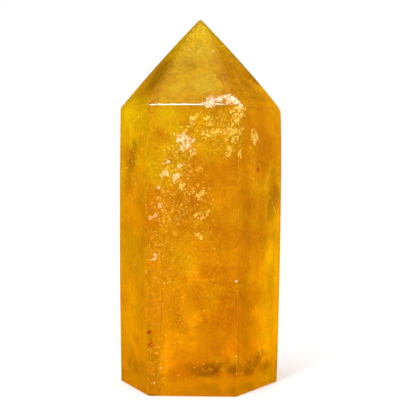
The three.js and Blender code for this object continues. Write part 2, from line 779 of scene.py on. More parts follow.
class Tone(Enum):
    """The colours that a zone of the stone gives to light passing its skin."""

    GREEN = (0.92, 0.68, 0.0, 1.0)
    LEMON = (1.0, 0.56, 0.0, 1.0)
    HONEY = (0.86, 0.345, 0.0, 1.0)
    ORANGE = (0.85, 0.24, 0.0, 1.0)
    AMBER = (0.62, 0.15, 0.0, 1.0)
    BROWN = (0.24, 0.05, 0.0, 1.0)
    UMBER = (0.15, 0.009, 0.0, 1.0)
    OLIVE = (0.62, 0.32, 0.0, 1.0)
    GLOW = (1.0, 0.42, 0.0, 1.0)
    CREAM = (1.0, 0.62, 0.0, 1.0)
    FROST = (1.0, 0.78, 0.11, 1.0)
    STRAW = (1.0, 0.76, 0.03, 1.0)


@dataclass(frozen=True)
class ColourSpot(Spot):
    """A spot of one tone in the stone.

    Attributes:
        tone: Its colour.
        strength: How far it takes the colour over, from 0 to 1.
        softness: How soft its rim is, from 0 to 1.
        depth: How far it reaches into the stone, in millimetres.
    """

    tone: Tone
    strength: float
    softness: float = 0.5
    depth: float = 2.0

    def mask(
        self, tree: Tree, groups: Groups, shape: StoneShape, place: bpy.types.NodeSocket
    ) -> bpy.types.NodeSocket:
        """Draws the spot in a material.

        Args:
            tree: The material's tree.
            groups: The shared groups.
            shape: The stone.
            place: The place that is shaded.

        Returns:
            How strongly the spot shows there.
        """
        middle, across, up, out = self.frame(shape)
        halves = {"Across": (across, self.width / 2), "Up": (up, self.tall / 2), "Out": (out, self.depth)}
        axes = {key: tuple(axis / (half * MM)) for key, (axis, half) in halves.items()}
        sizes = {"Place": place, "Centre": tuple(middle * MM), "Softness": self.softness, **axes}
        node = tree.add("ShaderNodeGroup", {"node_tree": groups.spot}, **sizes)
        return tree.math("MULTIPLY", node.outputs["Mask"], self.strength)


@dataclass(frozen=True)
class Wisps:
    """Clouds of one tone all through the stone.

    Attributes:
        tone: Their colour.
        size: The size of the largest in millimetres.
        cover: How much of the stone they take up, from 0 to 1.
        softness: How gently one begins.
        strength: How far they take the colour over, from 0 to 1.
        seed: Shifts the pattern.
    """

    tone: Tone
    size: float
    cover: float
    softness: float
    strength: float
    seed: float

    def mask(self, tree: Tree, groups: Groups) -> bpy.types.NodeSocket:
        """Draws the wisps in a material, and gives how strongly they show."""
        cloud = groups.cloud(tree, self.size, self.cover, self.softness, self.seed)
        return tree.math("MULTIPLY", cloud.outputs["Mask"], self.strength)


@dataclass(frozen=True)
class FluoriteGlass:
    """The clear stone: plain transmission, index and absorption, with colour zones in its body colour.

    Attributes:
        shape: The stone.
        spots: Spots of colour under the wisps.
        wisps: Clouds all through the stone.
        hazes: Spots of colour over the wisps.
        painted_sparkle: Spots where glints on small crystals and the shade between them are painted in the
            body colour.
        absorption: The colour that a long way through the stone leaves.
        density: How strongly it absorbs, per metre.
        greener: How fast the broad zones turn green, rightwards and upwards, per metre.
        zone_fineness: How fine the patches between the broad zones are, per metre.
        zone_noise: How much those patches mix them.
        honey: Where the broad zones have turned from orange to honey.
        green: Where they have turned green.
        stray: The size of the bends in a spot's rim, and how far they go, in millimetres.
        torn: The size, cover, softness and seed of the clouds that tear up those painted spots.
        always: The share of those painted spots that isn't torn up.
        crystal: The size of the crystals whose glints and shade are painted, in millimetres.
        glint_and_shade_share: The share of them that is painted bright as a glint, and that is painted dark
            as shade.
        painted_edge_shade: How far the rounded edges are darkened towards brown, as painted shade.
        polish: The roughness of the polished skin.
        rubbed: The least and the most that rubbing along the edges adds to it.
        rub_fineness: How fine the worn patches are, per metre.
        rub_band: The band of noise over which it goes from the least to the most.
        saw_cut: How much rougher the underside is.
        saw_rim: The heights in metres between which that ends.
        coat: The strength of the outer reflection.
        coat_polish: Its roughness.
    """

    shape: StoneShape
    spots: tuple[ColourSpot, ...]
    wisps: tuple[Wisps, ...]
    hazes: tuple[ColourSpot, ...]
    painted_sparkle: tuple[ColourSpot, ...]
    absorption: Rgba = (0.9995, 0.9985, 0.8, 1.0)
    density: float = 1000.0
    greener: tuple[float, float] = (-14.0, 13.0)
    zone_fineness: float = 55.0
    zone_noise: float = 1.5
    honey: float = 0.62
    green: float = 1.3
    stray: tuple[float, float] = (5.0, 2.2)
    torn: tuple[float, float, float, float] = (3.0, 0.52, 0.15, 17.0)
    always: float = 0.2
    crystal: float = 0.42
    glint_and_shade_share: float = 0.3
    painted_edge_shade: float = 0.25
    polish: float = 0.2
    rubbed: tuple[float, float] = (0.05, 0.25)
    rub_fineness: float = 2500.0
    rub_band: tuple[float, float] = (0.35, 0.7)
    saw_cut: float = 0.35
    saw_rim: tuple[float, float] = (0.00003, 0.00012)
    coat: float = 1.0
    coat_polish: float = 0.04

    def _moved(self, tree: Tree, place: bpy.types.NodeSocket) -> bpy.types.NodeSocket:
        """Moves each place about a little, so that the rims of spots stray.

        Args:
            tree: The material's tree.
            place: The place that is shaded.

        Returns:
            The moved place.
        """
        size, by = self.stray
        noisy = {"Scale": 1.0 / (size * MM), "Detail": 4.0, "Roughness": 0.65}
        shift = tree.add("ShaderNodeTexNoise", Vector=place, **noisy).outputs["Color"]
        centred = tree.vector("SUBTRACT", shift, (0.5, 0.5, 0.5))
        return tree.vector("ADD", place, tree.scaled(centred, by * MM * 2.0))

    def _zones(self, tree: Tree, place: bpy.types.NodeSocket) -> bpy.types.NodeSocket:
        """Draws the broad zones, from green at the top left to orange at the foot.

        Args:
            tree: The material's tree.
            place: The place that is shaded.

        Returns:
            The colour.
        """
        apart = tree.add("ShaderNodeSeparateXYZ", Vector=place).outputs
        rightwards, upwards = self.greener
        lean = tree.math("MULTIPLY_ADD", apart["X"], rightwards, tree.math("MULTIPLY", apart["Z"], upwards))
        noisy = {"Scale": self.zone_fineness, "Detail": 3.0, "Roughness": 0.55, "Distortion": 0.4}
        patches = tree.add("ShaderNodeTexNoise", Vector=place, **noisy).outputs["Fac"]
        middle = tree.math("SUBTRACT", lean, self.zone_noise / 2.0)
        drift = tree.math("MULTIPLY_ADD", patches, self.zone_noise, middle)
        colour = tree.blend(tree.ramp(drift, 0.0, self.honey), Tone.ORANGE.value, Tone.HONEY.value)
        return tree.blend(tree.ramp(drift, self.honey, self.green), colour, Tone.GREEN.value)

    def _spotted(
        self,
        tree: Tree,
        groups: Groups,
        colour: bpy.types.NodeSocket,
        spots: tuple[ColourSpot, ...],
        place: bpy.types.NodeSocket,
    ) -> bpy.types.NodeSocket:
        """Lays spots over a colour, one after the other.

        Args:
            tree: The material's tree.
            groups: The shared groups.
            colour: The colour under them.
            spots: The spots.
            place: The place that is shaded.

        Returns:
            The new colour.
        """
        for spot in spots:
            colour = tree.blend(spot.mask(tree, groups, self.shape, place), colour, spot.tone.value)
        return colour

    def _colour(self, tree: Tree, groups: Groups) -> bpy.types.NodeSocket:
        """Draws the whole body colour.

        Args:
            tree: The material's tree.
            groups: The shared groups.

        Returns:
            The colour at each place.
        """
        place = tree.place()
        colour = self._zones(tree, place)
        moved = self._moved(tree, place)
        colour = self._spotted(tree, groups, colour, self.spots, moved)
        for wisp in self.wisps:
            colour = tree.blend(wisp.mask(tree, groups), colour, wisp.tone.value)
        colour = self._spotted(tree, groups, colour, self.hazes, moved)
        sparkle_mask: object = 0.0
        for spot in self.painted_sparkle:
            sparkle_mask = tree.math("MAXIMUM", sparkle_mask, spot.mask(tree, groups, self.shape, moved))
        torn = groups.cloud(tree, *self.torn).outputs["Mask"]
        left = tree.math("MULTIPLY_ADD", torn, 1.0 - self.always, self.always)
        patchy = tree.math("MULTIPLY", sparkle_mask, left)
        # Painted highlights and painted shade: bright crystals stand in for glints, and dark ones for the
        # shade between them.
        sizes = {"Size": self.crystal, "Share": self.glint_and_shade_share}
        crystals = tree.add("ShaderNodeGroup", {"node_tree": groups.crystals}, **sizes).outputs
        for output, tone in (("Dark", Tone.BROWN), ("Bright", Tone.STRAW)):
            colour = tree.blend(tree.math("MULTIPLY", crystals[output], patchy), colour, tone.value)
        # Painted shade: the rounded edges are darkened towards brown in the body colour.
        worn = tree.math("MULTIPLY", tree.attribute("wear_and_shade"), self.painted_edge_shade)
        return tree.blend(worn, colour, Tone.BROWN.value)

    def _roughness(self, tree: Tree) -> bpy.types.NodeSocket:
        """Draws the roughness: polished, rubbed along the edges and sawn underneath.

        Args:
            tree: The material's tree.

        Returns:
            The roughness at each place.
        """
        place = tree.place()
        height = tree.add("ShaderNodeSeparateXYZ", Vector=place).outputs["Z"]
        fine = tree.add("ShaderNodeTexNoise", Vector=place, Scale=self.rub_fineness, Detail=3.0)
        rub = tree.ramp(fine.outputs["Fac"], *self.rub_band, *self.rubbed)
        rubbed = tree.math("MULTIPLY", tree.attribute("wear_and_shade"), rub)
        cut = tree.ramp(height, *self.saw_rim, self.saw_cut, 0.0)
        return tree.math("ADD", tree.math("ADD", rubbed, cut), self.polish)

    def build(self, groups: Groups) -> bpy.types.Material:
        """Makes the material.

        Args:
            groups: The shared groups.

        Returns:
            The material.
        """
        material, tree, shader, output = new_material("fluorite")
        tree.feed(shader.inputs["Base Color"], self._colour(tree, groups))
        tree.feed(shader.inputs["Roughness"], self._roughness(tree))
        shader.inputs["IOR"].default_value = FLUORITE_IOR
        shader.inputs["Transmission Weight"].default_value = 1.0
        shader.inputs["Coat Weight"].default_value = self.coat
        shader.inputs["Coat Roughness"].default_value = self.coat_polish
        shader.inputs["Coat IOR"].default_value = FLUORITE_IOR
        volume = tree.add("ShaderNodeVolumeAbsorption", Color=self.absorption, Density=self.density)
        tree.feed(output.inputs["Volume"], volume.outputs[0])
        return material


@dataclass(frozen=True)
class CloudFilm:
    """A thin film of clouds inside the stone, seen through between its wisps.

    Attributes:
        name: The material's name.
        colour: The film's colour.
        deep: Its colour where it is thickest.
        opacity: How much a full wisp hides.
        size: The size of the largest wisps in millimetres.
        cover: How much of the film is cloud, from 0 to 1.
        softness: How gently a wisp begins.
        glow: How much light comes through from behind, from 0 to 1.
        seed: Shifts the pattern.
        grain: How grainy the wisps are, from 0 to 1.
        roughness: The roughness of the wisps.
    """

    name: str
    colour: Rgba
    deep: Rgba
    opacity: float
    size: float
    cover: float
    softness: float
    glow: float
    seed: float
    grain: float = 0.5
    roughness: float = 0.6

    def build(self, groups: Groups) -> bpy.types.Material:
        """Makes the material.

        Args:
            groups: The shared groups.

        Returns:
            The material.
        """
        material, tree, shader, output = new_material(self.name)
        cloud = groups.cloud(tree, self.size, self.cover, self.softness, self.seed).outputs
        grain = tree.math("MULTIPLY_ADD", cloud["Grain"], self.grain, 1.0 - self.grain)
        mask = tree.math("MULTIPLY", tree.math("MULTIPLY", cloud["Mask"], grain), tree.attribute("fade"))
        colour = tree.blend(grain, self.deep, self.colour)
        tree.feed(shader.inputs["Base Color"], colour)
        shader.inputs["Roughness"].default_value = self.roughness
        shader.inputs["Specular IOR Level"].default_value = DULL
        through = tree.add("ShaderNodeBsdfTranslucent", Color=colour)
        lit = tree.add("ShaderNodeMixShader", Fac=self.glow, n1=shader.outputs[0], n2=through.outputs[0])
        clear = tree.add("ShaderNodeBsdfTransparent")
        share = tree.math("MULTIPLY", mask, self.opacity, clamp=True)
        shown = tree.add("ShaderNodeMixShader", Fac=share, n1=clear.outputs[0], n2=lit.outputs[0])
        tree.feed(output.inputs["Surface"], shown.outputs[0])
        return material


@dataclass(frozen=True)
class CrumbFinish:
    """The dull skin of small crystals, flakes and stains.

    Attributes:
        name: The material's name.
        pale: The lighter of its two colours.
        dark: The darker one.
        patch: The size of the patches of each in millimetres.
        roughness: The roughness of the dark patches.
        glossy: The roughness of the pale ones.
        tone_band: The band of noise over which the colours change.
        gloss_band: The band over which the roughness does.
    """

    name: str
    pale: Rgba
    dark: Rgba
    patch: float = 0.6
    roughness: float = 0.45
    glossy: float = 0.25
    tone_band: tuple[float, float] = (0.36, 0.62)
    gloss_band: tuple[float, float] = (0.3, 0.7)

    def build(self) -> bpy.types.Material:
        """Makes the material.

        Returns:
            The material.
        """
        material, tree, shader, _ = new_material(self.name)
        place = tree.place()
        noisy = {"Scale": 1.0 / (self.patch * MM), "Detail": 5.0, "Roughness": 0.65}
        speckle = tree.add("ShaderNodeTexNoise", Vector=place, **noisy).outputs["Fac"]
        share = tree.ramp(speckle, *self.tone_band)
        tree.feed(shader.inputs["Base Color"], tree.blend(share, self.dark, self.pale))
        gloss = tree.ramp(speckle, *self.gloss_band, self.roughness, self.glossy)
        tree.feed(shader.inputs["Roughness"], gloss)
        shader.inputs["Specular IOR Level"].default_value = DULL
        return material


# ---------------------------------------------------------------------------------------------------------
# The stone and what is in it


@dataclass
class PolishedBody:
    """The stone itself, as a skin of loops that follow every edge.

    Attributes:
        shape: The field whose zero is the skin.
        name: The piece's name.
        near_edge: Distances from an edge at which loops run along it.
        near_tip: Distances from the tip at which loops run round it.
        spacing: The distance between the other loops.
        rise: The distance between loops up the stone.
        shoulder: How far above and below the shoulder the loops run closer.
        shoulder_rise: The distance between them there.
        tip_gap: How far below the tip the loops of the point end.
        under_spacing: The distance between the loops underneath.
    """

    shape: StoneShape
    name: str = "fluorite_body"
    near_edge: tuple[float, ...] = (0.07, 0.15, 0.24, 0.35, 0.5, 0.75, 1.1)
    near_tip: tuple[float, ...] = (1.0, 0.8, 0.62, 0.46, 0.32, 0.2, 0.1)
    spacing: float = 1.3
    rise: float = 0.42
    shoulder: float = 1.0
    shoulder_rise: float = 0.1
    tip_gap: float = 1.2
    under_spacing: float = 1.2

    def _shares_across(self) -> list[float]:
        """Spaces the loops across one side.

        Returns:
            Their places, as shares of the way from one corner to the next.
        """
        width = float(np.linalg.norm(self.shape.corner(0, 0.5) - self.shape.corner(1, 0.5)))
        near = [d / width for d in self.near_edge]
        count = round((1.0 - 2.0 * near[-1]) * width / self.spacing)
        middle = np.linspace(near[-1], 1.0 - near[-1], count + 1)[1:-1]
        return [0.0, *near, *middle, *[1.0 - s for s in reversed(near)]]

    def _shares_up(self) -> list[float]:
        """Spaces the loops up the stone.

        Returns:
            Their places: 0 to 1 on the sides, and 1 to 2 on the point.
        """
        tall = self.shape.profiles[0].shoulder[1]
        slant = float(np.linalg.norm(self.shape.corner(0, 1.0) - self.shape.tip))
        band, step, near = self.shoulder, self.shoulder_rise, self.near_edge
        sides = np.linspace(near[-1], tall - band, round(tall / self.rise))[1:] / tall
        below = 1.0 - np.arange(band - step, 0.0, -step) / tall
        above = 1.0 + np.arange(step, band + step, step) / slant
        point = 1.0 + np.linspace(band, slant - self.tip_gap, round(slant / self.rise))[1:] / slant
        top = 2.0 - np.array(self.near_tip) / slant
        return [*(d / tall for d in near), *sides, *below, 1.0, *above, *point, *top]

    def _ring(self, share: float, across: list[float]) -> np.ndarray:
        """Runs one loop round the stone.

        Args:
            share: How far up: 0 at the foot, 1 at the shoulder, 2 at the tip.
            across: The places of its points on each side.

        Returns:
            Its points, one a row.
        """
        corners = [self.shape.corner((side - 1) % len(Side), share) for side in Side]
        pairs = zip(corners, corners[1:] + corners[:1])
        return np.array([first * (1.0 - t) + second * t for first, second in pairs for t in across])

    @staticmethod
    def _joined(rings: int, count: int) -> list[tuple[int, ...]]:
        """Joins loops into a closed skin.

        Args:
            rings: The number of loops.
            count: The number of points in each.

        Returns:
            The faces. Point 0 is the first loop's middle, and the last point is the tip.
        """
        last = 1 + rings * count
        faces = [(0, 1 + (i + 1) % count, 1 + i) for i in range(count)]
        for start in range(1, last - count, count):
            for i in range(count):
                j = (i + 1) % count
                faces.append((start + i, start + j, start + count + j, start + count + i))
        start = last - count
        return faces + [(start + i, start + (i + 1) % count, last) for i in range(count)]

    def build(self, material: bpy.types.Material) -> bpy.types.Object:
        """Makes the body and puts it in the solid's place.

        Args:
            material: The stone's material.

        Returns:
            The body.
        """
        across = self._shares_across()
        foot = self._ring(0.0, across)
        centre = foot.mean(axis=0)
        half = float(np.linalg.norm(foot - centre, axis=1).mean())
        space = self.under_spacing
        insets = [*np.arange(half - space, space, -space), *reversed(self.near_edge)]
        under = [centre + (foot - centre) * (1.0 - d / half) for d in insets]
        rings = [*under, foot, *[self._ring(s, across) for s in self._shares_up()]]
        points = np.concatenate([centre[None, :], *rings, self.shape.tip[None, :]])
        points = self.shape.settle(points)
        faces = self._joined(len(rings), len(foot))
        slope = self.shape.slope(points)
        normals = slope / np.linalg.norm(slope, axis=1)[:, None]
        # along an edge, the soft maximum stands above the nearest face by ln 2 over the sharpness
        gap = self.shape.field(points, skin=False) - self.shape.faces(points).max(axis=1)
        wear_and_shade = np.clip(gap * self.shape.sharpness(points) / math.log(2.0), 0.0, 1.0)
        # The mask roughens the rounded edges where they are worn, and darkens them in the body colour as
        # painted shade.
        piece = mesh_object(self.name, points, faces, normals, {"wear_and_shade": wear_and_shade})
        dress(piece, material)
        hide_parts(NODE)
        return piece


@dataclass(frozen=True)
class Sheet:
    """One curved sheet inside the stone.

    Attributes:
        middle: Its middle, in millimetres.
        looks: The way it faces, in degrees anticlockwise from +X.
        tilt: How far it leans back from upright, in degrees.
        width: Its size across.
        height: Its size up the lean.
        bend: How far it bows and ripples.
    """

    middle: tuple[float, float, float]
    looks: float
    tilt: float
    width: float
    height: float
    bend: float


@dataclass
class SheetSet:
    """Sheets of one kind inside the stone, in one piece, that fade out towards the skin and their own rims.

    Attributes:
        name: The piece's name.
        film: Their finish.
        sheets: The sheets.
        cell: The size of their faces.
        clear: How far inside the skin they have to stay.
        fade: Over what depth they fade in.
        seed: Chooses their ripples.
        ripple: The size of the ripples.
        rim: How softly a sheet ends, as a share of its half size.
        ragged: How far the ripples move its rim.
    """

    name: str
    film: CloudFilm
    sheets: tuple[Sheet, ...]
    cell: float = 0.7
    clear: float = 0.25
    fade: float = 1.5
    seed: float = 1.0
    ripple: float = 9.0
    rim: float = 0.35
    ragged: float = 0.25

    def _one(
        self, shape: StoneShape, sheet: Sheet, seed: float
    ) -> tuple[np.ndarray, list[tuple[int, ...]], np.ndarray]:
        """Makes one sheet.

        Args:
            shape: The stone.
            sheet: The sheet.
            seed: Chooses its ripples.

        Returns:
            Its points, its faces and how strongly it shows at each point.
        """
        turn, lean = math.radians(sheet.looks), math.radians(sheet.tilt)
        out = np.array([math.cos(turn), math.sin(turn), 0.0])
        side = np.array([-math.sin(turn), math.cos(turn), 0.0])
        up = np.array([0.0, 0.0, math.cos(lean)]) - out * math.sin(lean)
        facing = np.cross(side, up)
        a, b, cells = grid(sheet.width, sheet.height, self.cell, least=2)
        flat = np.array(sheet.middle) + np.outer(a * sheet.width / 2, side)
        flat += np.outer(b * sheet.height / 2, up)
        ripple = fractal(flat, self.ripple, seed, octaves=3)
        points = flat + np.outer(ripple * sheet.bend, facing)
        depth = -shape.field(points, skin=False)
        rim = smoothstep(0.0, self.rim, 1.0 - np.hypot(a, b) + self.ragged * ripple)
        fade = smoothstep(self.clear, self.clear + self.fade, depth) * rim
        corners = np.array(cells)
        shown = (depth[corners].min(axis=1) > self.clear) & (fade[corners].max(axis=1) > 0.0)
        return points, [face for face, kept in zip(cells, shown) if kept], fade

    def build(self, shape: StoneShape, groups: Groups) -> bpy.types.Object:
        """Makes all the sheets as one piece.

        Args:
            shape: The stone.
            groups: The shared shader groups.

        Returns:
            The piece.
        """
        points, faces, fades, start = [], [], [], 0
        for i, sheet in enumerate(self.sheets):
            where, cells, fade = self._one(shape, sheet, self.seed + i)
            used = sorted({k for face in cells for k in face})
            place = {k: start + n for n, k in enumerate(used)}
            points.append(where[used])
            fades.append(fade[used])
            faces += [tuple(place[k] for k in face) for face in cells]
            start += len(used)
        piece = mesh_object(self.name, np.concatenate(points), faces, values={"fade": np.concatenate(fades)})
        return dress(piece, self.film.build(groups))


@dataclass(frozen=True)
class CrumbSpot(Spot):
    """A ragged spot of small crystals on one face of the stone.

    Attributes:
        crowd: How thickly it is covered, beside the others.
        lift: How far the crystals' middles stand out of the skin, in millimetres.
    """

    crowd: float
    lift: float = 0.02


class FlakeTree:
    """A geometry node tree that grows crumbs of crystal on a patch. Its sizes are in metres."""

    GAP_RIM = 0.08  # how softly a gap begins
    CUBE = 1.6  # the crumb's side, in times its size
    STRETCH = ((0.6, 0.35, 1.0), (1.3, 1.0, 1.0))  # how little and how much a crumb is stretched each way
    ROUGH_FINER = 1.5  # how many lumps there are along a crumb
    ROUGH_PUSH = 0.7  # how far they push its corners, in times its size
    INPUTS = {
        "Crowd": ("NodeSocketFloat", 2.0e7),
        "Size": ("NodeSocketFloat", 0.0002),
        "Spread": ("NodeSocketFloat", 0.5),
        "Flatness": ("NodeSocketFloat", 0.35),
        "Tilt": ("NodeSocketFloat", 0.6),
        "Gaps": ("NodeSocketFloat", 0.5),
        "Gap Size": ("NodeSocketFloat", 0.0008),
        "Seed": ("NodeSocketInt", 1),
        "Material": ("NodeSocketMaterial", None),
    }

    def __init__(self) -> None:
        """Builds the tree once."""
        group = bpy.data.node_groups.new("crystal crumbs", "GeometryNodeTree")
        group.interface.new_socket("Geometry", in_out="INPUT", socket_type="NodeSocketGeometry")
        for key, (kind, value) in self.INPUTS.items():
            socket = group.interface.new_socket(key, in_out="INPUT", socket_type=kind)
            if value is not None:
                socket.default_value = value
        group.interface.new_socket("Geometry", in_out="OUTPUT", socket_type="NodeSocketGeometry")
        self.group = group
        self._wire(Tree(group))

    def _random(
        self, tree: Tree, low: object, high: object, seed: object, vector: bool
    ) -> bpy.types.NodeSocket:
        """Draws a random number or vector for each point.

        Args:
            tree: The tree.
            low: The least it may be.
            high: The most it may be.
            seed: Chooses the draw.
            vector: Whether it is a vector.

        Returns:
            The drawn value.
        """
        kind = "FLOAT_VECTOR" if vector else "FLOAT"
        node = tree.add("FunctionNodeRandomValue", {"data_type": kind})
        start = 0 if vector else 2
        tree.feed(node.inputs[start], low)
        tree.feed(node.inputs[start + 1], high)
        tree.feed(node.inputs["Seed"], seed)
        return node.outputs[0 if vector else 1]

    def _scattered(self, tree: Tree, given: bpy.types.NodeOutputs) -> bpy.types.Node:
        """Scatters points over the patch, and leaves gaps among them.

        Args:
            tree: The tree.
            given: Its inputs.

        Returns:
            The node that scatters.
        """
        place = tree.add("GeometryNodeInputPosition").outputs[0]
        scale = tree.math("DIVIDE", 1.0, given["Gap Size"])
        holes = tree.add("ShaderNodeTexNoise", Vector=place, Scale=scale, Detail=4.0, Roughness=0.6)
        top = tree.math("ADD", given["Gaps"], self.GAP_RIM)
        kept = tree.ramp(holes.outputs[0], given["Gaps"], top)
        own = tree.add("GeometryNodeInputNamedAttribute", {"data_type": "FLOAT"}, Name="crowd").outputs[0]
        density = tree.math("MULTIPLY", tree.math("MULTIPLY", given["Crowd"], kept), own)
        patch = {"Mesh": given["Geometry"], "Seed": given["Seed"]}
        return tree.add("GeometryNodeDistributePointsOnFaces", Density=density, **patch)

    def _crumbs(
        self, tree: Tree, given: bpy.types.NodeOutputs, scatter: bpy.types.Node
    ) -> bpy.types.NodeSocket:
        """Puts a crumb at each point, each with a size, a stretch and a tilt of its own.

        Args:
            tree: The tree.
            given: Its inputs.
            scatter: The node that scatters the points.

        Returns:
            The crumbs as one mesh.
        """
        crumb = tree.add("GeometryNodeMeshCube", Size=(self.CUBE,) * 3).outputs["Mesh"]
        least = tree.math("MULTIPLY", given["Size"], tree.math("SUBTRACT", 1.0, given["Spread"]))
        most = tree.math("MULTIPLY", given["Size"], tree.math("ADD", 1.0, given["Spread"]))
        size = self._random(tree, least, most, given["Seed"], vector=False)
        stretch = self._random(tree, *self.STRETCH, given["Seed"], vector=True)
        x, y, z = tree.add("ShaderNodeSeparateXYZ", Vector=stretch).outputs
        thin = tree.math("MULTIPLY", given["Flatness"], z)
        shaped = tree.scaled(tree.add("ShaderNodeCombineXYZ", X=x, Y=y, Z=thin).outputs[0], size)
        lean = tree.add("ShaderNodeCombineXYZ", X=given["Tilt"], Y=given["Tilt"], Z=math.pi).outputs[0]
        turned = self._random(tree, tree.scaled(lean, -1.0), lean, given["Seed"], vector=True)
        ways = {"Rotation": scatter.outputs["Rotation"], "Rotate_By": turned}
        turn = tree.add("FunctionNodeRotateRotation", {"rotation_space": "LOCAL"}, **ways).outputs[0]
        parts = {"Points": scatter.outputs["Points"], "Instance": crumb}
        placed = tree.add("GeometryNodeInstanceOnPoints", Rotation=turn, Scale=shaped, **parts)
        return tree.add("GeometryNodeRealizeInstances", Geometry=placed.outputs[0]).outputs[0]

    def _wire(self, tree: Tree) -> None:
        """Wires the tree: scatter, instance, realize, roughen, material.

        Args:
            tree: The empty tree.
        """
        given = tree.add("NodeGroupInput").outputs
        crumbs = self._crumbs(tree, given, self._scattered(tree, given))
        place = tree.add("GeometryNodeInputPosition").outputs[0]
        finer = tree.math("DIVIDE", self.ROUGH_FINER, given["Size"])
        rough = tree.add("ShaderNodeTexNoise", Vector=place, Scale=finer, Detail=1.0)
        centred = tree.vector("SUBTRACT", rough.outputs[1], (0.5, 0.5, 0.5))
        moved = tree.scaled(centred, tree.math("MULTIPLY", given["Size"], self.ROUGH_PUSH))
        jagged = tree.add("GeometryNodeSetPosition", Geometry=crumbs, Offset=moved)
        flat = tree.add("GeometryNodeSetShadeSmooth", Geometry=jagged.outputs[0], Shade_Smooth=False)
        done = tree.add("GeometryNodeSetMaterial", Geometry=flat.outputs[0], Material=given["Material"])
        tree.add("NodeGroupOutput", Geometry=done.outputs[0])

    def grow(self, seedbed: bpy.types.Object, name: str, **values: object) -> bpy.types.Object:
        """Grows crumbs on a seedbed and returns them as a plain mesh, without the seedbed.

        Args:
            seedbed: The patches, with a crowd attribute. It is deleted.
            name: The new piece's name.
            values: The tree's inputs, by name.

        Returns:
            The crumbs.
        """
        modifier = seedbed.modifiers.new("crumbs", "NODES")
        modifier.node_group = self.group
        sockets = {s.name: s.identifier for s in self.group.interface.items_tree if s.in_out == "INPUT"}
        for key, value in values.items():
            modifier[sockets[key]] = value
        evaluated = seedbed.evaluated_get(bpy.context.evaluated_depsgraph_get())
        mesh = bpy.data.meshes.new_from_object(evaluated)
        mesh.name = name
        bpy.data.objects.remove(seedbed)
        piece = bpy.data.objects.new(name, mesh)
        bpy.context.scene.collection.objects.link(piece)
        return piece


@dataclass
class CrumbSpots:
    """Patches of small crystals of one finish.

    Attributes:
        name: The piece's name.
        finish: The crystals' finish.
        spots: Where they lie.
        growth: How they grow, as inputs of the flake tree.
        cell: The size of the seedbed's faces.
        margin: How many times larger than a spot its seedbed is.
        ragged_size: The size of the bays in a spot's outline.
        ragged: How deep they are, as a share of its half size.
        rim: How softly a spot ends, in the same measure.
    """

    name: str
    finish: CrumbFinish
    spots: tuple[CrumbSpot, ...]
    growth: dict[str, float]
    cell: float = 0.25
    margin: float = 1.4
    ragged_size: float = 1.1
    ragged: float = 0.8
    rim: float = 0.3

    def _seedbed(self, shape: StoneShape) -> bpy.types.Object:
        """Makes the ragged spots that the crumbs grow on.

        Args:
            shape: The stone.

        Returns:
            The spots as one object, with a crowd attribute.
        """
        points, faces, crowds, start = [], [], [], 0
        for number, spot in enumerate(self.spots):
            middle, x_axis, y_axis, _ = spot.frame(shape)
            a, b, cells = grid(spot.width, spot.tall, self.cell, least=3, over=self.margin)
            flat = middle + np.outer(a * spot.width / 2, x_axis) + np.outer(b * spot.tall / 2, y_axis)
            inside = 1.0 - np.hypot(a, b) + self.ragged * fractal(flat, self.ragged_size, 1.0 + number)
            skin = shape.settle(flat, skin=False)
            points.append(skin + shape.slope(skin, skin=False) * spot.lift)
            crowds.append(spot.crowd * smoothstep(0.0, self.rim, inside))
            shown = inside[np.array(cells)].max(axis=1) > 0.0
            faces += [tuple(start + n for n in face) for face, kept in zip(cells, shown) if kept]
            start += len(flat)
        crowd = {"crowd": np.concatenate(crowds)}
        return mesh_object(self.name + "_seedbed", np.concatenate(points), faces, values=crowd)

    def build(self, shape: StoneShape, tree: FlakeTree, material: bpy.types.Material) -> bpy.types.Object:
        """Makes the crumbs as one piece."""
        return dress(tree.grow(self._seedbed(shape), self.name, Material=material, **self.growth), material)


# ---------------------------------------------------------------------------------------------------------
# The studio


class Ray(str, Enum):
    """The kinds of ray that a lamp can be hidden from."""

    CAMERA = "visible_camera"
    DIFFUSE = "visible_diffuse"
    GLOSSY = "visible_glossy"
    TRANSMISSION = "visible_transmission"


@dataclass(frozen=True)
class Lamp:
    """A flat lamp. Its sizes are in metres.

    Attributes:
        name: Its name.
        size: Its size across and up.
        energy: Its power, in watts.
        place: Where it hangs.
        aim: The height on the axis that it looks at.
        hidden: The kinds of ray that don't see it.
    """

    name: str
    size: tuple[float, float]
    energy: float
    place: tuple[float, float, float]
    aim: float
    hidden: tuple[Ray, ...]

    def build(self) -> None:
        """Hangs the lamp."""
        lamp = bpy.data.lights.new(self.name, "AREA")
        lamp.shape = "RECTANGLE"
        lamp.size, lamp.size_y = self.size
        lamp.energy = self.energy
        holder = bpy.data.objects.new(self.name, lamp)
        bpy.context.scene.collection.objects.link(holder)
        holder.location = self.place
        way = Vector((0.0, 0.0, self.aim)) - holder.location
        holder.rotation_euler = way.to_track_quat("-Z", "Y").to_euler()
        for ray in self.hidden:
            setattr(holder, ray.value, False)


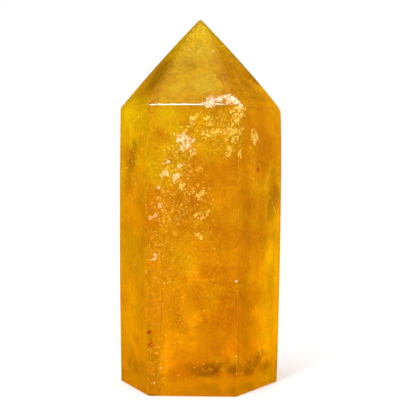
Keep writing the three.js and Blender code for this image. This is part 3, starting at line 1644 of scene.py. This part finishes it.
@dataclass
class Studio:
    """A pale floor, soft light from all round, two lamps and the camera.

    Attributes:
        lamps: The lamps.
        eye: The camera's place, in millimetres.
        pitch: How far it looks up, in degrees.
        focal: Its focal length, in frame widths.
        sensor: The width of its sensor, in millimetres.
        nearest: The nearest thing that it sees, in metres.
        floor_size: The floor's size, in metres.
        floor_gap: How far it lies under the stone, in millimetres.
        floor_colour: How pale it is.
        floor_roughness: How rough it is.
        sky: How bright the room is.
        backdrop: How bright the wall behind the stone is.
        zenith: How bright the ceiling is in the polish.
        wall: How bright the walls are there.
        ceiling: How far up a ray points where the ceiling begins, and where it is full.
        warm_floor: The floor's colour in the polish.
        warm_wall: The walls' colour there.
        bounces: How often light may bounce, in all and through the stone.
        clear_bounces: How many clear films it may cross.
    """

    lamps: tuple[Lamp, ...]
    eye: tuple[float, float, float] = (1.65, -206.66, 43.77)
    pitch: float = -2.1476
    focal: float = 1000.0 / 416.0
    sensor: float = 36.0
    nearest: float = 0.01
    floor_size: float = 8.0
    floor_gap: float = 0.02
    floor_colour: float = 0.95
    floor_roughness: float = 0.9
    sky: float = 1.14
    backdrop: float = 1.0
    zenith: float = 0.14
    wall: float = 0.45
    ceiling: tuple[float, float] = (0.5, 0.9)
    warm_floor: Rgba = (0.42, 0.24, 0.0, 1.0)
    warm_wall: Rgba = (1.0, 0.58, 0.0, 1.0)
    bounces: int = 20
    clear_bounces: int = 40

    def _outer_reflection(self, tree: Tree) -> bpy.types.NodeSocket:
        """Gives 1 for rays that a surface has mirrored outwards, and 0 for all others."""
        path = tree.add("ShaderNodeLightPath").outputs
        return tree.math("SUBTRACT", path["Is Glossy Ray"], path["Is Transmission Ray"], clamp=True)

    def floor(self) -> None:
        """Lays the floor. It is dimmer in reflections, as a studio's dark surroundings make it."""
        half = self.floor_size / 2 / MM
        z = -self.floor_gap
        points = np.array([(-half, -half, z), (half, -half, z), (half, half, z), (-half, half, z)])
        floor = mesh_object("floor", points, [(0, 1, 2, 3)])
        material, tree, shader, _ = new_material("floor")
        pale = (self.floor_colour,) * 3 + (1.0,)
        colour = tree.blend(self._outer_reflection(tree), pale, self.warm_floor)
        tree.feed(shader.inputs["Base Color"], colour)
        shader.inputs["Roughness"].default_value = self.floor_roughness
        shader.inputs["Specular IOR Level"].default_value = 0.0
        floor.data.materials.append(material)

    def world(self) -> None:
        """Lights the room: even and pale, and dimmer and warmer in the polish."""
        world = bpy.data.worlds.new("room")
        bpy.context.scene.world = world
        world.use_nodes = True
        tree = Tree(world.node_tree)
        way = tree.add("ShaderNodeTexCoord").outputs["Generated"]
        rise = tree.add("ShaderNodeSeparateXYZ", Vector=way).outputs["Z"]
        ceiling = tree.ramp(rise, *self.ceiling)
        path = tree.add("ShaderNodeLightPath").outputs
        mirrored = self._outer_reflection(tree)
        white = (1.0, 1.0, 1.0, 1.0)
        reflected = tree.math("MULTIPLY_ADD", ceiling, self.zenith - self.wall, self.wall)
        lit = tree.math("MULTIPLY_ADD", mirrored, tree.math("SUBTRACT", reflected, self.sky), self.sky)
        seen = tree.math("MULTIPLY", path["Is Camera Ray"], tree.math("SUBTRACT", self.backdrop, lit))
        tint = tree.blend(mirrored, white, tree.blend(ceiling, self.warm_wall, white))
        background = world.node_tree.nodes["Background"]
        tree.feed(background.inputs["Color"], tint)
        tree.feed(background.inputs["Strength"], tree.math("ADD", lit, seen))

    def camera(self) -> None:
        """Sets up the camera."""
        lens = bpy.data.cameras.new("camera")
        lens.sensor_width = self.sensor
        lens.lens = self.sensor * self.focal
        lens.clip_start = self.nearest
        camera = bpy.data.objects.new("camera", lens)
        camera.location = Vector(self.eye) * MM
        camera.rotation_euler = (math.radians(90.0 + self.pitch), 0.0, 0.0)
        bpy.context.scene.collection.objects.link(camera)
        bpy.context.scene.camera = camera

    def build(self) -> None:
        """Sets up the whole studio."""
        self.camera()
        self.floor()
        self.world()
        for lamp in self.lamps:
            lamp.build()
        scene = bpy.context.scene
        scene.view_settings.view_transform = "Standard"
        scene.cycles.max_bounces = self.bounces
        scene.cycles.transmission_bounces = self.bounces
        scene.cycles.transparent_max_bounces = self.clear_bounces


# ---------------------------------------------------------------------------------------------------------
# This stone

F, FL, FR = Side.FRONT, Side.FRONT_LEFT, Side.FRONT_RIGHT

# Each row has a spot's values in the order of its class: the side, its middle across and up, its width and
# height, its turn, and what is its own.
COLOUR_SPOTS = ColourSpot.rows(
    # left face, from the top
    (FL, 3.5, 43.5, 8.0, 4.5, -25, Tone.LEMON, 0.7),
    (FL, -2.0, 37.0, 11.0, 11.0, 0, Tone.AMBER, 0.7),
    (FL, 2.5, 28.0, 7.0, 12.0, 15, Tone.LEMON, 0.6),
    (FL, -1.0, 22.0, 8.0, 8.0, 0, Tone.ORANGE, 0.6),
    (FL, 0.0, 12.0, 10.0, 12.0, 0, Tone.ORANGE, 0.55),
    # painted shade: the dark band low on the left face, for the shadow under the back of the stone seen
    # through it
    (FL, 2.0, 4.2, 11.0, 3.6, 0, Tone.BROWN, 0.45),
    # front face, from the top
    (F, -7.0, 43.2, 9.0, 4.6, -18, Tone.LEMON, 0.9),
    (F, -3.6, 51.2, 2.0, 6.0, 10, Tone.AMBER, 0.75),
    (F, -0.5, 54.5, 7.0, 2.5, -5, Tone.HONEY, 0.6),
    (F, 4.0, 50.0, 9.0, 8.0, 0, Tone.GREEN, 0.45),
    (F, 0.0, 40.5, 10.0, 9.0, 20, Tone.AMBER, 0.6),
    (F, -3.6, 25.0, 9.0, 16.0, 20, Tone.LEMON, 0.75),
    (F, 1.0, 34.0, 5.0, 5.0, 0, Tone.LEMON, 0.5),
    (F, 5.5, 30.0, 6.0, 16.0, 0, Tone.HONEY, 0.6),
    (F, 4.6, 15.5, 9.0, 17.0, 8, Tone.AMBER, 0.75),
    (F, -5.5, 17.0, 5.0, 9.0, 0, Tone.AMBER, 0.4),
    (F, -6.5, 10.0, 6.0, 7.0, 0, Tone.LEMON, 0.45),
    # painted shade: the dark band low on the front, for the shadow under the back of the stone seen through
    # it
    (F, 4.0, 5.6, 12.5, 3.1, 2, Tone.BROWN, 0.85, 0.35),
    (F, -5.5, 4.6, 5.0, 1.6, -5, Tone.BROWN, 0.4),
    # right face, from the top
    (FR, 0.5, 50.0, 17.0, 16.0, 0, Tone.AMBER, 0.8),
    (FR, 3.5, 44.0, 8.0, 7.0, 30, Tone.HONEY, 0.5),
    (FR, -5.8, 35.0, 4.4, 30.0, 0, Tone.AMBER, 0.9),
    (FR, -5.5, 13.0, 5.0, 16.0, 0, Tone.AMBER, 0.4),
    # painted shade: the dark band low on the right face, for the shadow under the back of the stone seen
    # through it
    (FR, -3.5, 5.6, 8.0, 3.2, 3, Tone.BROWN, 0.75, 0.35),
    (FR, 5.5, 6.6, 4.6, 3.4, 20, Tone.BROWN, 0.8, 0.35),
)

WISPS = (
    Wisps(Tone.AMBER, 8.0, 0.47, 0.08, 0.55, 1.0),
    Wisps(Tone.LEMON, 7.0, 0.46, 0.08, 0.5, 2.0),
    Wisps(Tone.BROWN, 3.5, 0.42, 0.12, 0.3, 3.0),
    Wisps(Tone.CREAM, 2.6, 0.42, 0.12, 0.32, 4.0),
    Wisps(Tone.AMBER, 1.2, 0.46, 0.12, 0.32, 5.0),
    Wisps(Tone.LEMON, 0.7, 0.47, 0.12, 0.4, 6.0),
)

HAZE_SPOTS = ColourSpot.rows(
    # the point
    (FL, 0.5, 62.5, 15.0, 13.0, 0, Tone.AMBER, 0.75),
    (FL, 2.6, 63.4, 9.0, 11.0, 12, Tone.BROWN, 1.0, 0.35),
    (FL, 0.0, 72.0, 6.0, 6.0, 0, Tone.CREAM, 1.0),
    (FR, 0.0, 72.0, 5.0, 5.0, 0, Tone.LEMON, 0.9),
    (FL, 1.0, 69.0, 6.0, 6.0, 0, Tone.CREAM, 0.95),
    (F, 0.0, 72.2, 7.0, 6.0, 0, Tone.STRAW, 1.0),
    (FL, 0.5, 57.6, 9.0, 2.6, 0, Tone.GREEN, 0.8),
    (F, -0.5, 63.5, 13.0, 21.0, 0, Tone.CREAM, 0.95),
    (F, 1.8, 60.8, 5.5, 4.6, 20, Tone.FROST, 1.0, 0.6),
    (F, -1.2, 66.4, 3.0, 8.0, -30, Tone.FROST, 0.8, 0.7),
    (F, 2.2, 66.5, 1.4, 6.0, 12, Tone.FROST, 0.6, 0.6),
    (F, -4.4, 59.4, 5.0, 2.2, 30, Tone.FROST, 0.6, 0.6),
    (F, -1.0, 61.6, 3.0, 1.6, 20, Tone.HONEY, 0.35),
    (FR, -1.5, 62.0, 10.0, 13.0, 20, Tone.AMBER, 0.6),
    (FR, 0.5, 60.5, 5.0, 2.0, -35, Tone.BROWN, 0.5),
    (FR, 4.6, 60.0, 4.0, 12.0, 30, Tone.GLOW, 0.8),
    # the yellow cloud at the top left, with an orange zone under it
    (FL, 0.5, 52.0, 15.0, 11.0, 0, Tone.GREEN, 0.8, 0.25),
    (F, -6.2, 49.0, 7.5, 15.5, -8, Tone.GREEN, 0.8, 0.25),
    (F, -7.6, 50.5, 2.4, 9.0, 0, Tone.HONEY, 0.6, 0.4),
    (FL, -2.0, 46.6, 8.0, 3.6, -15, Tone.AMBER, 0.9, 0.35),
    (FL, 1.0, 37.0, 15.0, 11.0, -15, Tone.ORANGE, 0.75, 0.35),
    (F, -7.2, 36.5, 5.0, 8.0, 0, Tone.ORANGE, 0.7, 0.35),
    (FL, 0.0, 22.0, 8.0, 7.0, 0, Tone.HONEY, 0.6, 0.4),
    (F, 4.0, 51.5, 13.0, 9.5, 0, Tone.OLIVE, 0.75),
    (F, -2.5, 13.0, 12.0, 14.0, 0, Tone.AMBER, 0.2),
    # torn patches in the cloud
    (F, -6.3, 50.6, 2.2, 3.2, 30, Tone.AMBER, 0.65, 0.35),
    (F, -4.6, 46.4, 2.2, 4.4, -30, Tone.AMBER, 0.6, 0.35),
    (FL, 5.0, 49.6, 3.4, 3.0, 20, Tone.AMBER, 0.6, 0.35),
    (FL, -3.6, 50.0, 4.0, 4.4, -20, Tone.AMBER, 0.5, 0.35),
    (F, -7.6, 53.4, 3.0, 2.6, 0, Tone.CREAM, 0.8, 0.35),
    (F, -6.4, 47.4, 2.4, 3.2, -20, Tone.CREAM, 0.8, 0.35),
    (F, -5.8, 43.0, 5.5, 2.2, 18, Tone.CREAM, 0.85, 0.3),
    (FL, 1.6, 53.0, 5.0, 3.2, 10, Tone.CREAM, 0.8, 0.35),
    (FL, 2.0, 46.0, 6.0, 2.2, -20, Tone.CREAM, 0.7, 0.35),
    # a leaf-shaped brown flaw with a bright rim on the right
    (FR, 1.0, 50.5, 14.0, 13.0, 0, Tone.AMBER, 0.65, 0.4),
    (FR, 4.6, 40.0, 6.5, 10.5, -12, Tone.LEMON, 0.7, 0.2),
    (FR, 6.0, 33.2, 4.6, 4.4, 0, Tone.LEMON, 1.0, 0.3),
    (FR, 5.4, 41.2, 3.6, 6.0, -20, Tone.BROWN, 0.6, 0.35),
    (FR, 5.2, 37.0, 4.8, 8.0, -28, Tone.UMBER, 1.0, 0.3),
    (FR, -5.4, 38.0, 6.5, 9.5, 0, Tone.BROWN, 0.3, 0.5),
    # the lighter strip along the left edge, then painted light on the right border and the foot
    (F, -2.5, 11.5, 12.0, 11.0, 0, Tone.HONEY, 0.55, 0.6),
    (F, -7.6, 15.0, 5.4, 38.0, 0, Tone.GLOW, 0.9, 0.6),
    # painted light: lighter where light crosses the thin stone by the right edge
    (FR, 5.0, 19.0, 9.0, 34.0, 0, Tone.LEMON, 0.85, 0.5),
    (FR, -6.6, 17.0, 4.0, 24.0, 0, Tone.AMBER, 0.6, 0.5),
    # painted light: lighter at the foot, where light shows through the bottom of the stone
    (FR, 5.0, 2.0, 8.0, 4.4, 6, Tone.LEMON, 1.0),
    (FR, -4.0, 1.6, 10.0, 2.8, 0, Tone.GLOW, 0.9),
    (F, 0.0, 1.6, 22.0, 2.8, 0, Tone.GLOW, 0.95),
)

# Where glints on small crystals and the shade between them are painted in the body colour.
PAINTED_SPARKLE_SPOTS = ColourSpot.rows(
    (F, 4.2, 51.5, 12.0, 9.5, 0, Tone.FROST, 0.65),
    (F, -2.4, 44.5, 8.5, 12.0, 25, Tone.FROST, 0.65),
    (F, -5.6, 36.5, 7.0, 12.0, 10, Tone.FROST, 0.6),
    (F, -8.0, 18.0, 3.4, 36.0, 1, Tone.FROST, 0.3),
    (F, 4.5, 5.6, 12.0, 3.0, 2, Tone.FROST, 0.6),
)

CHIPS = (
    Chip(Side.FRONT_LEFT, 12.3, 0.55, 0.22),
    Chip(Side.FRONT_LEFT, 10.2, 0.4, 0.18),
    Chip(Side.FRONT_RIGHT, 54.2, 0.5, 0.2),
    Chip(Side.FRONT, 22.5, 0.3, 0.12),
)

MILK = CloudFilm(
    "milk", (1.0, 0.97, 0.9, 1), (0.99, 0.9, 0.66, 1),
    opacity=0.75, size=9.0, cover=0.58, softness=0.2, glow=0.5, seed=1.0,
)
HAZE = CloudFilm(
    "haze", (1.0, 0.97, 0.7, 1), (1.0, 0.9, 0.45, 1),
    opacity=0.97, size=5.0, cover=0.66, softness=0.2, glow=0.5, seed=3.0, grain=0.2,
)
# A dark film: smoky clouds in the stone, and painted shade along the foot.
SMOKE_AND_SHADE = CloudFilm(
    "smoke_and_shade", (0.42, 0.2, 0.03, 1), (0.3, 0.12, 0.01, 1),
    opacity=0.8, size=4.0, cover=0.62, softness=0.2, glow=0.4, seed=4.0,
)
CURTAIN = CloudFilm(
    "curtain", (1.0, 0.92, 0.6, 1), (0.55, 0.26, 0.02, 1),
    opacity=0.75, size=4.0, cover=0.48, softness=0.1, glow=0.5, seed=6.0, grain=0.7,
)
EDGE_GLOW = CloudFilm(
    "edge glow", (1.0, 0.92, 0.4, 1), (1.0, 0.8, 0.15, 1),
    opacity=0.85, size=5.0, cover=0.72, softness=0.3, glow=0.5, seed=8.0, grain=0.3,
)

EDGE_SHEETS = (
    Sheet((-8.9, -13.4, 24), -97, 0, 3.8, 100, 0.1),
    Sheet((-8.6, -13.1, 24), -93, 0, 4.0, 100, 0.1),
)

NEAR_SHEETS = (
    Sheet((0.0, -13.9, 27), -92.9, 0, 14, 56, 0.25),
    Sheet((-12.6, -5.6, 27), -155.6, 0, 14, 56, 0.25),
    Sheet((11.5, -7.1, 27), -31.6, 0, 14, 54, 0.25),
)

MILKY_SHEETS = (
    Sheet((0, -10, 30), -92, 4, 22, 62, 1.2),
    Sheet((0, -6, 34), -85, -6, 28, 72, 1.5),
    Sheet((0, -1, 34), -100, 8, 32, 72, 2.0),
    Sheet((0, 4, 34), -80, -5, 30, 72, 2.0),
    Sheet((0, 9, 32), -95, 5, 24, 66, 1.5),
    Sheet((-8, 0, 32), -150, 10, 26, 66, 2.0),
    Sheet((8, 0, 32), -30, 8, 26, 66, 2.0),
    Sheet((-8.6, -12.4, 28), -105, 0, 6, 64, 0.4),
    Sheet((0, 0, 30), -90, 80, 30, 26, 1.5),
)

HAZY_SHEETS = (
    Sheet((-0.4, -6.0, 65.6), -92.9, 38, 17, 26, 0.3),
    Sheet((-0.5, -5.0, 65.8), -92.9, 38, 20, 28, 0.5),
    Sheet((0.0, -2.5, 63.0), -92.9, 38, 22, 24, 1.0),
    Sheet((-5.5, -2.0, 63.0), -155, 36, 18, 20, 0.8),
    Sheet((5.5, -2.5, 63.0), -31, 34, 18, 20, 0.8),
    Sheet((0, 0, 57), -90, 90, 30, 28, 1.2),
    Sheet((0, 0, 61), -70, 86, 24, 24, 1.2),
    Sheet((0, 0, 65), -110, 92, 18, 18, 1.0),
    Sheet((0, 0, 68.5), -90, 88, 12, 12, 0.6),
)

SMOKE_AND_SHADE_SHEETS = (
    # The first three lie along the foot: dark sheets of painted shade, for the shadow under the back of the
    # stone seen through it.
    Sheet((2.5, 8, 2.0), -90, 20, 20, 4, 0.6),
    Sheet((11.5, -2, 5.0), -35, 10, 9, 5, 0.8),
    Sheet((-12.5, -4, 4.5), -150, 8, 7, 4, 0.8),
    Sheet((-11.8, -3, 47), -150, 10, 8, 8, 1.0),
    Sheet((-7.8, -5.2, 62.8), -155.6, 39, 9, 10, 0.3),
)

WHITE_CRUST = CrumbSpot.rows(
    (F, 3.3, 57.25, 3.4, 2.4, 20, 1.0, 0.05),
    (F, 2.0, 56.75, 2.4, 1.2, 20, 1.0, 0.03),
    (F, 6.3, 57.6, 3.2, 1.6, -10, 0.9, 0.03),
    (F, 8.0, 56.9, 1.5, 1.8, 45, 0.9, 0.03),
    (FR, -8.0, 56.2, 1.8, 1.4, -30, 0.8, 0.02),
    (F, -2.2, 49.2, 2.0, 3.0, 40, 0.5, 0.03),
    (F, -3.9, 42.6, 1.6, 0.9, 30, 0.6),
)

PEACH_CRUST = CrumbSpot.rows(
    (F, 6.0, 57.4, 4.6, 2.2, -10, 0.6, 0.01),
    (F, 2.6, 56.6, 3.4, 1.3, 15, 0.6, 0.01),
    (F, -2.2, 49.2, 2.8, 4.4, 40, 1.0, 0.03),
    (F, -5.7, 45.6, 1.2, 1.4, 0, 0.7),
    (F, -2.7, 44.7, 1.9, 0.6, 20, 0.6),
    (F, -5.9, 43.1, 1.3, 1.1, 30, 0.6),
    (F, -3.7, 42.5, 2.4, 1.3, 30, 0.9),
    (F, -7.2, 40.9, 0.9, 1.0, 0, 0.4),
    (F, -6.9, 37.2, 1.1, 0.9, 0, 0.6),
    (F, -8.0, 34.8, 1.9, 1.0, 15, 0.6),
    (F, -8.0, 27.1, 1.4, 1.2, 0, 0.8),
)

CREAM_CRUST = CrumbSpot.rows(
    (F, 8.1, 55.2, 2.4, 3.2, 30, 1.0),
    (F, 7.8, 53.3, 3.0, 1.4, -10, 0.8),
    (FR, -7.6, 54.6, 2.6, 2.6, 0, 1.0),
    (FR, -7.8, 51.2, 2.0, 1.6, 0, 0.7),
    (F, 2.8, 53.2, 1.8, 1.5, 20, 0.8),
    (F, -0.9, 53.0, 1.1, 3.0, -20, 0.8),
    (F, 3.4, 51.0, 4.0, 1.5, 8, 0.9),
    (F, 7.4, 51.0, 4.2, 1.7, 0, 0.9),
    (F, 6.2, 47.6, 1.7, 2.8, -15, 0.9),
    (FR, -8.3, 47.6, 1.3, 2.8, 12, 0.9),
    (F, 7.3, 49.4, 2.6, 1.8, 0, 0.6),
    (FR, -2.6, 50.4, 2.9, 3.1, 25, 0.9),
    (F, -4.0, 47.9, 1.2, 1.2, 0, 0.6),
    (F, -2.6, 40.8, 1.3, 1.8, 0, 0.8),
    (F, -0.9, 39.5, 2.4, 1.1, 40, 0.8),
    (F, 1.4, 39.8, 1.2, 2.8, -32, 1.0),
    (F, 1.2, 35.0, 2.4, 2.0, 20, 0.8),
    (F, 0.6, 31.5, 1.4, 1.8, 0, 0.5),
)

SUGAR = CrumbSpot.rows(
    (F, 3.9, 51.5, 10.5, 9.0, 0, 0.6, 0.01),
    (F, -2.6, 45.0, 7.5, 10.5, 30, 0.9, 0.01),
    (F, -5.6, 36.8, 6.0, 10.5, 15, 0.8, 0.01),
    (F, -1.0, 37.0, 8.0, 8.0, 0, 0.35, 0.01),
    (F, -2.5, 28.0, 12.0, 24.0, 20, 0.13, 0.01),
    (F, 4.5, 5.6, 12.0, 3.0, 2, 0.15, 0.01),
    (FR, -4.0, 5.8, 8.0, 3.0, 4, 0.08, 0.01),
    (FL, 1.0, 46.0, 10.0, 18.0, 0, 0.1, 0.01),
    (FR, -3.0, 46.0, 7.0, 16.0, 0, 0.08, 0.01),
)

EDGE_SUGAR = CrumbSpot.rows(
    (F, -7.6, 31.0, 3.4, 12.0, 2, 0.35, 0.01),
    (F, -7.6, 20.0, 3.4, 13.0, 0, 0.3, 0.01),
    (F, -7.4, 8.0, 3.8, 13.0, 0, 0.16, 0.01),
    (F, -5.0, 16.0, 5.0, 26.0, 0, 0.08, 0.01),
    (FL, 8.0, 22.0, 0.8, 34.0, 0, 0.2, 0.01),
)

CLEAVAGE = CrumbSpot.rows(
    (FR, -2.6, 61.0, 0.14, 7.0, -12, 0.7, 0.0),
    (FR, -1.4, 59.6, 0.14, 5.0, -14, 0.5, 0.0),
    (FR, 1.6, 60.4, 0.14, 5.0, -35, 0.5, 0.0),
    (FR, 0.4, 7.4, 0.15, 5.0, 22, 0.8, 0.0),
    (FR, 3.2, 42.5, 0.15, 5.5, -25, 0.8, 0.0),
    (FR, 5.0, 37.2, 0.15, 5.0, 35, 0.8, 0.0),
    (F, -4.6, 54.6, 0.14, 3.4, -30, 0.6, 0.0),
    (F, -3.2, 52.6, 0.14, 2.6, 35, 0.5, 0.0),
    (FL, 1.0, 40.5, 0.14, 3.0, 40, 0.5, 0.0),
)

# Painted highlights: white specks of crumb, put where the stone glints.
PAINTED_GLINTS = CrumbSpot.rows(
    (F, 7.78, 22.5, 0.42, 0.42, 0, 6.0, 0.03),
    (F, 7.7, 8.0, 0.2, 0.24, 0, 2.5, 0.02),
    (F, -8.1, 2.5, 0.42, 0.26, 0, 4.0, 0.03),
    (F, -6.9, 5.5, 0.3, 0.2, 0, 2.0, 0.02),
    (FL, 1.8, 24.9, 0.3, 0.2, 0, 3.0, 0.02),
    (F, 6.5, 58.3, 0.15, 0.4, 0, 3.0, 0.02),
    (F, 3.2, 67.4, 0.55, 0.12, 0, 3.0, 0.02),
    (F, -1.9, 67.8, 0.3, 0.12, 0, 3.0, 0.02),
)

RUST = CrumbSpot.rows(
    (F, -9.1, 12.4, 0.7, 0.5, 0, 1.0),
    (F, -8.9, 10.1, 0.9, 0.5, 0, 1.0),
    (FR, -1.0, 43.9, 0.6, 0.6, 0, 1.0),
)


WHITE = CrumbFinish("white crust and painted glints", (1.0, 0.93, 0.78, 1), (0.76, 0.35, 0.07, 1))
PEACH = CrumbFinish("peach crust", (0.98, 0.78, 0.42, 1), (0.75, 0.32, 0.03, 1))
CREAM = CrumbFinish("cream crust", (0.98, 0.74, 0.13, 1), (0.64, 0.27, 0.0, 1))
GOLD = CrumbFinish("golden sugar", (0.97, 0.66, 0.07, 1), (0.52, 0.2, 0.0, 1), patch=0.5, roughness=0.4)
ROSY = CrumbFinish("rosy sugar", (1.0, 0.64, 0.1, 1), (0.8, 0.3, 0.0, 1), patch=0.5, roughness=0.4)
STAIN = CrumbFinish("rust", (0.5, 0.014, 0.0, 1), (0.25, 0.006, 0.0, 1), patch=0.3, roughness=0.6)
CRUMB_FINISHES = (PEACH, WHITE, CREAM, STAIN, GOLD, ROSY)

# How the crumbs of each kind grow, as inputs of the flake tree.
CRUSTY = {"Crowd": 5.0e7, "Size": 0.00014, "Gaps": 0.44, "Flatness": 0.5, "Tilt": 1.2}
SUGARY = {"Crowd": 4.5e7, "Size": 0.00008, "Gaps": 0.5, "Flatness": 0.6, "Tilt": 1.5, "Gap Size": 0.0006}
LINEAR = {"Crowd": 1.5e8, "Size": 0.00006, "Gaps": 0.35, "Flatness": 0.5, "Tilt": 1.0}
BRIGHT = {"Crowd": 3.0e7, "Size": 0.00013, "Gaps": 0.0, "Flatness": 0.7, "Tilt": 1.5}

SHEET_SETS = (
    SheetSet("milky_veils", MILK, MILKY_SHEETS),
    SheetSet("near_veils", CURTAIN, NEAR_SHEETS, cell=0.5, clear=0.1, fade=0.3, seed=31.0),
    SheetSet("edge_veils", EDGE_GLOW, EDGE_SHEETS, cell=0.4, clear=0.05, fade=0.2, seed=41.0),
    SheetSet("point_haze", HAZE, HAZY_SHEETS, clear=0.3, fade=1.0, seed=21.0),
    SheetSet("smoke_and_shade_films", SMOKE_AND_SHADE, SMOKE_AND_SHADE_SHEETS, cell=0.5, clear=0.1, fade=0.6, seed=9.0),
)

CRUMB_SETS = (
    CrumbSpots("white_crust", WHITE, WHITE_CRUST, CRUSTY | {"Seed": 3}),
    CrumbSpots("peach_crust", PEACH, PEACH_CRUST, CRUSTY | {"Seed": 4}),
    CrumbSpots("cream_crust", CREAM, CREAM_CRUST, CRUSTY | {"Seed": 5}),
    CrumbSpots("sugar_grains", GOLD, SUGAR, SUGARY | {"Seed": 7}),
    CrumbSpots("edge_sugar", ROSY, EDGE_SUGAR, SUGARY | {"Seed": 8}),
    CrumbSpots("cleavage_lines", GOLD, CLEAVAGE, LINEAR | {"Seed": 13}, cell=0.05),
    # painted highlights: white specks where the stone glints
    CrumbSpots("painted_glints", WHITE, PAINTED_GLINTS, BRIGHT | {"Seed": 12}, cell=0.1),
    CrumbSpots("rust_specks", STAIN, RUST, CRUSTY | {"Gaps": 0.3, "Seed": 11}),
)

# The kicker only draws the glint along rounded edges. The key models the small crystals, and draws no glint.
KICKER = Lamp(
    "kicker", size=(0.05, 0.06), energy=1.6, place=(-0.064, -0.42, 0.36), aim=0.056,
    hidden=(Ray.CAMERA, Ray.DIFFUSE, Ray.TRANSMISSION),
)
KEY = Lamp(
    "key", size=(0.12, 0.12), energy=1.3, place=(-0.22, -0.38, 0.36), aim=0.04,
    hidden=(Ray.CAMERA, Ray.GLOSSY, Ray.TRANSMISSION),
)


def main() -> None:
    """Builds the stone and its flaws, and the studio round it."""
    logging.basicConfig(level=logging.INFO, format="%(name)s: %(message)s")
    Studio((KICKER, KEY)).build()
    shape = StoneShape(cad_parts[NODE], CHIPS)
    groups = Groups(cloud_group(), crystal_group(), spot_group())
    glass = FluoriteGlass(shape, COLOUR_SPOTS, WISPS, HAZE_SPOTS, PAINTED_SPARKLE_SPOTS)
    PolishedBody(shape).build(glass.build(groups))
    for sheets in SHEET_SETS:
        sheets.build(shape, groups)
    tree = FlakeTree()
    materials = {finish: finish.build() for finish in CRUMB_FINISHES}
    for crumbs in CRUMB_SETS:
        crumbs.build(shape, tree, materials[crumbs.finish])


if __name__ == "__main__":
    main()
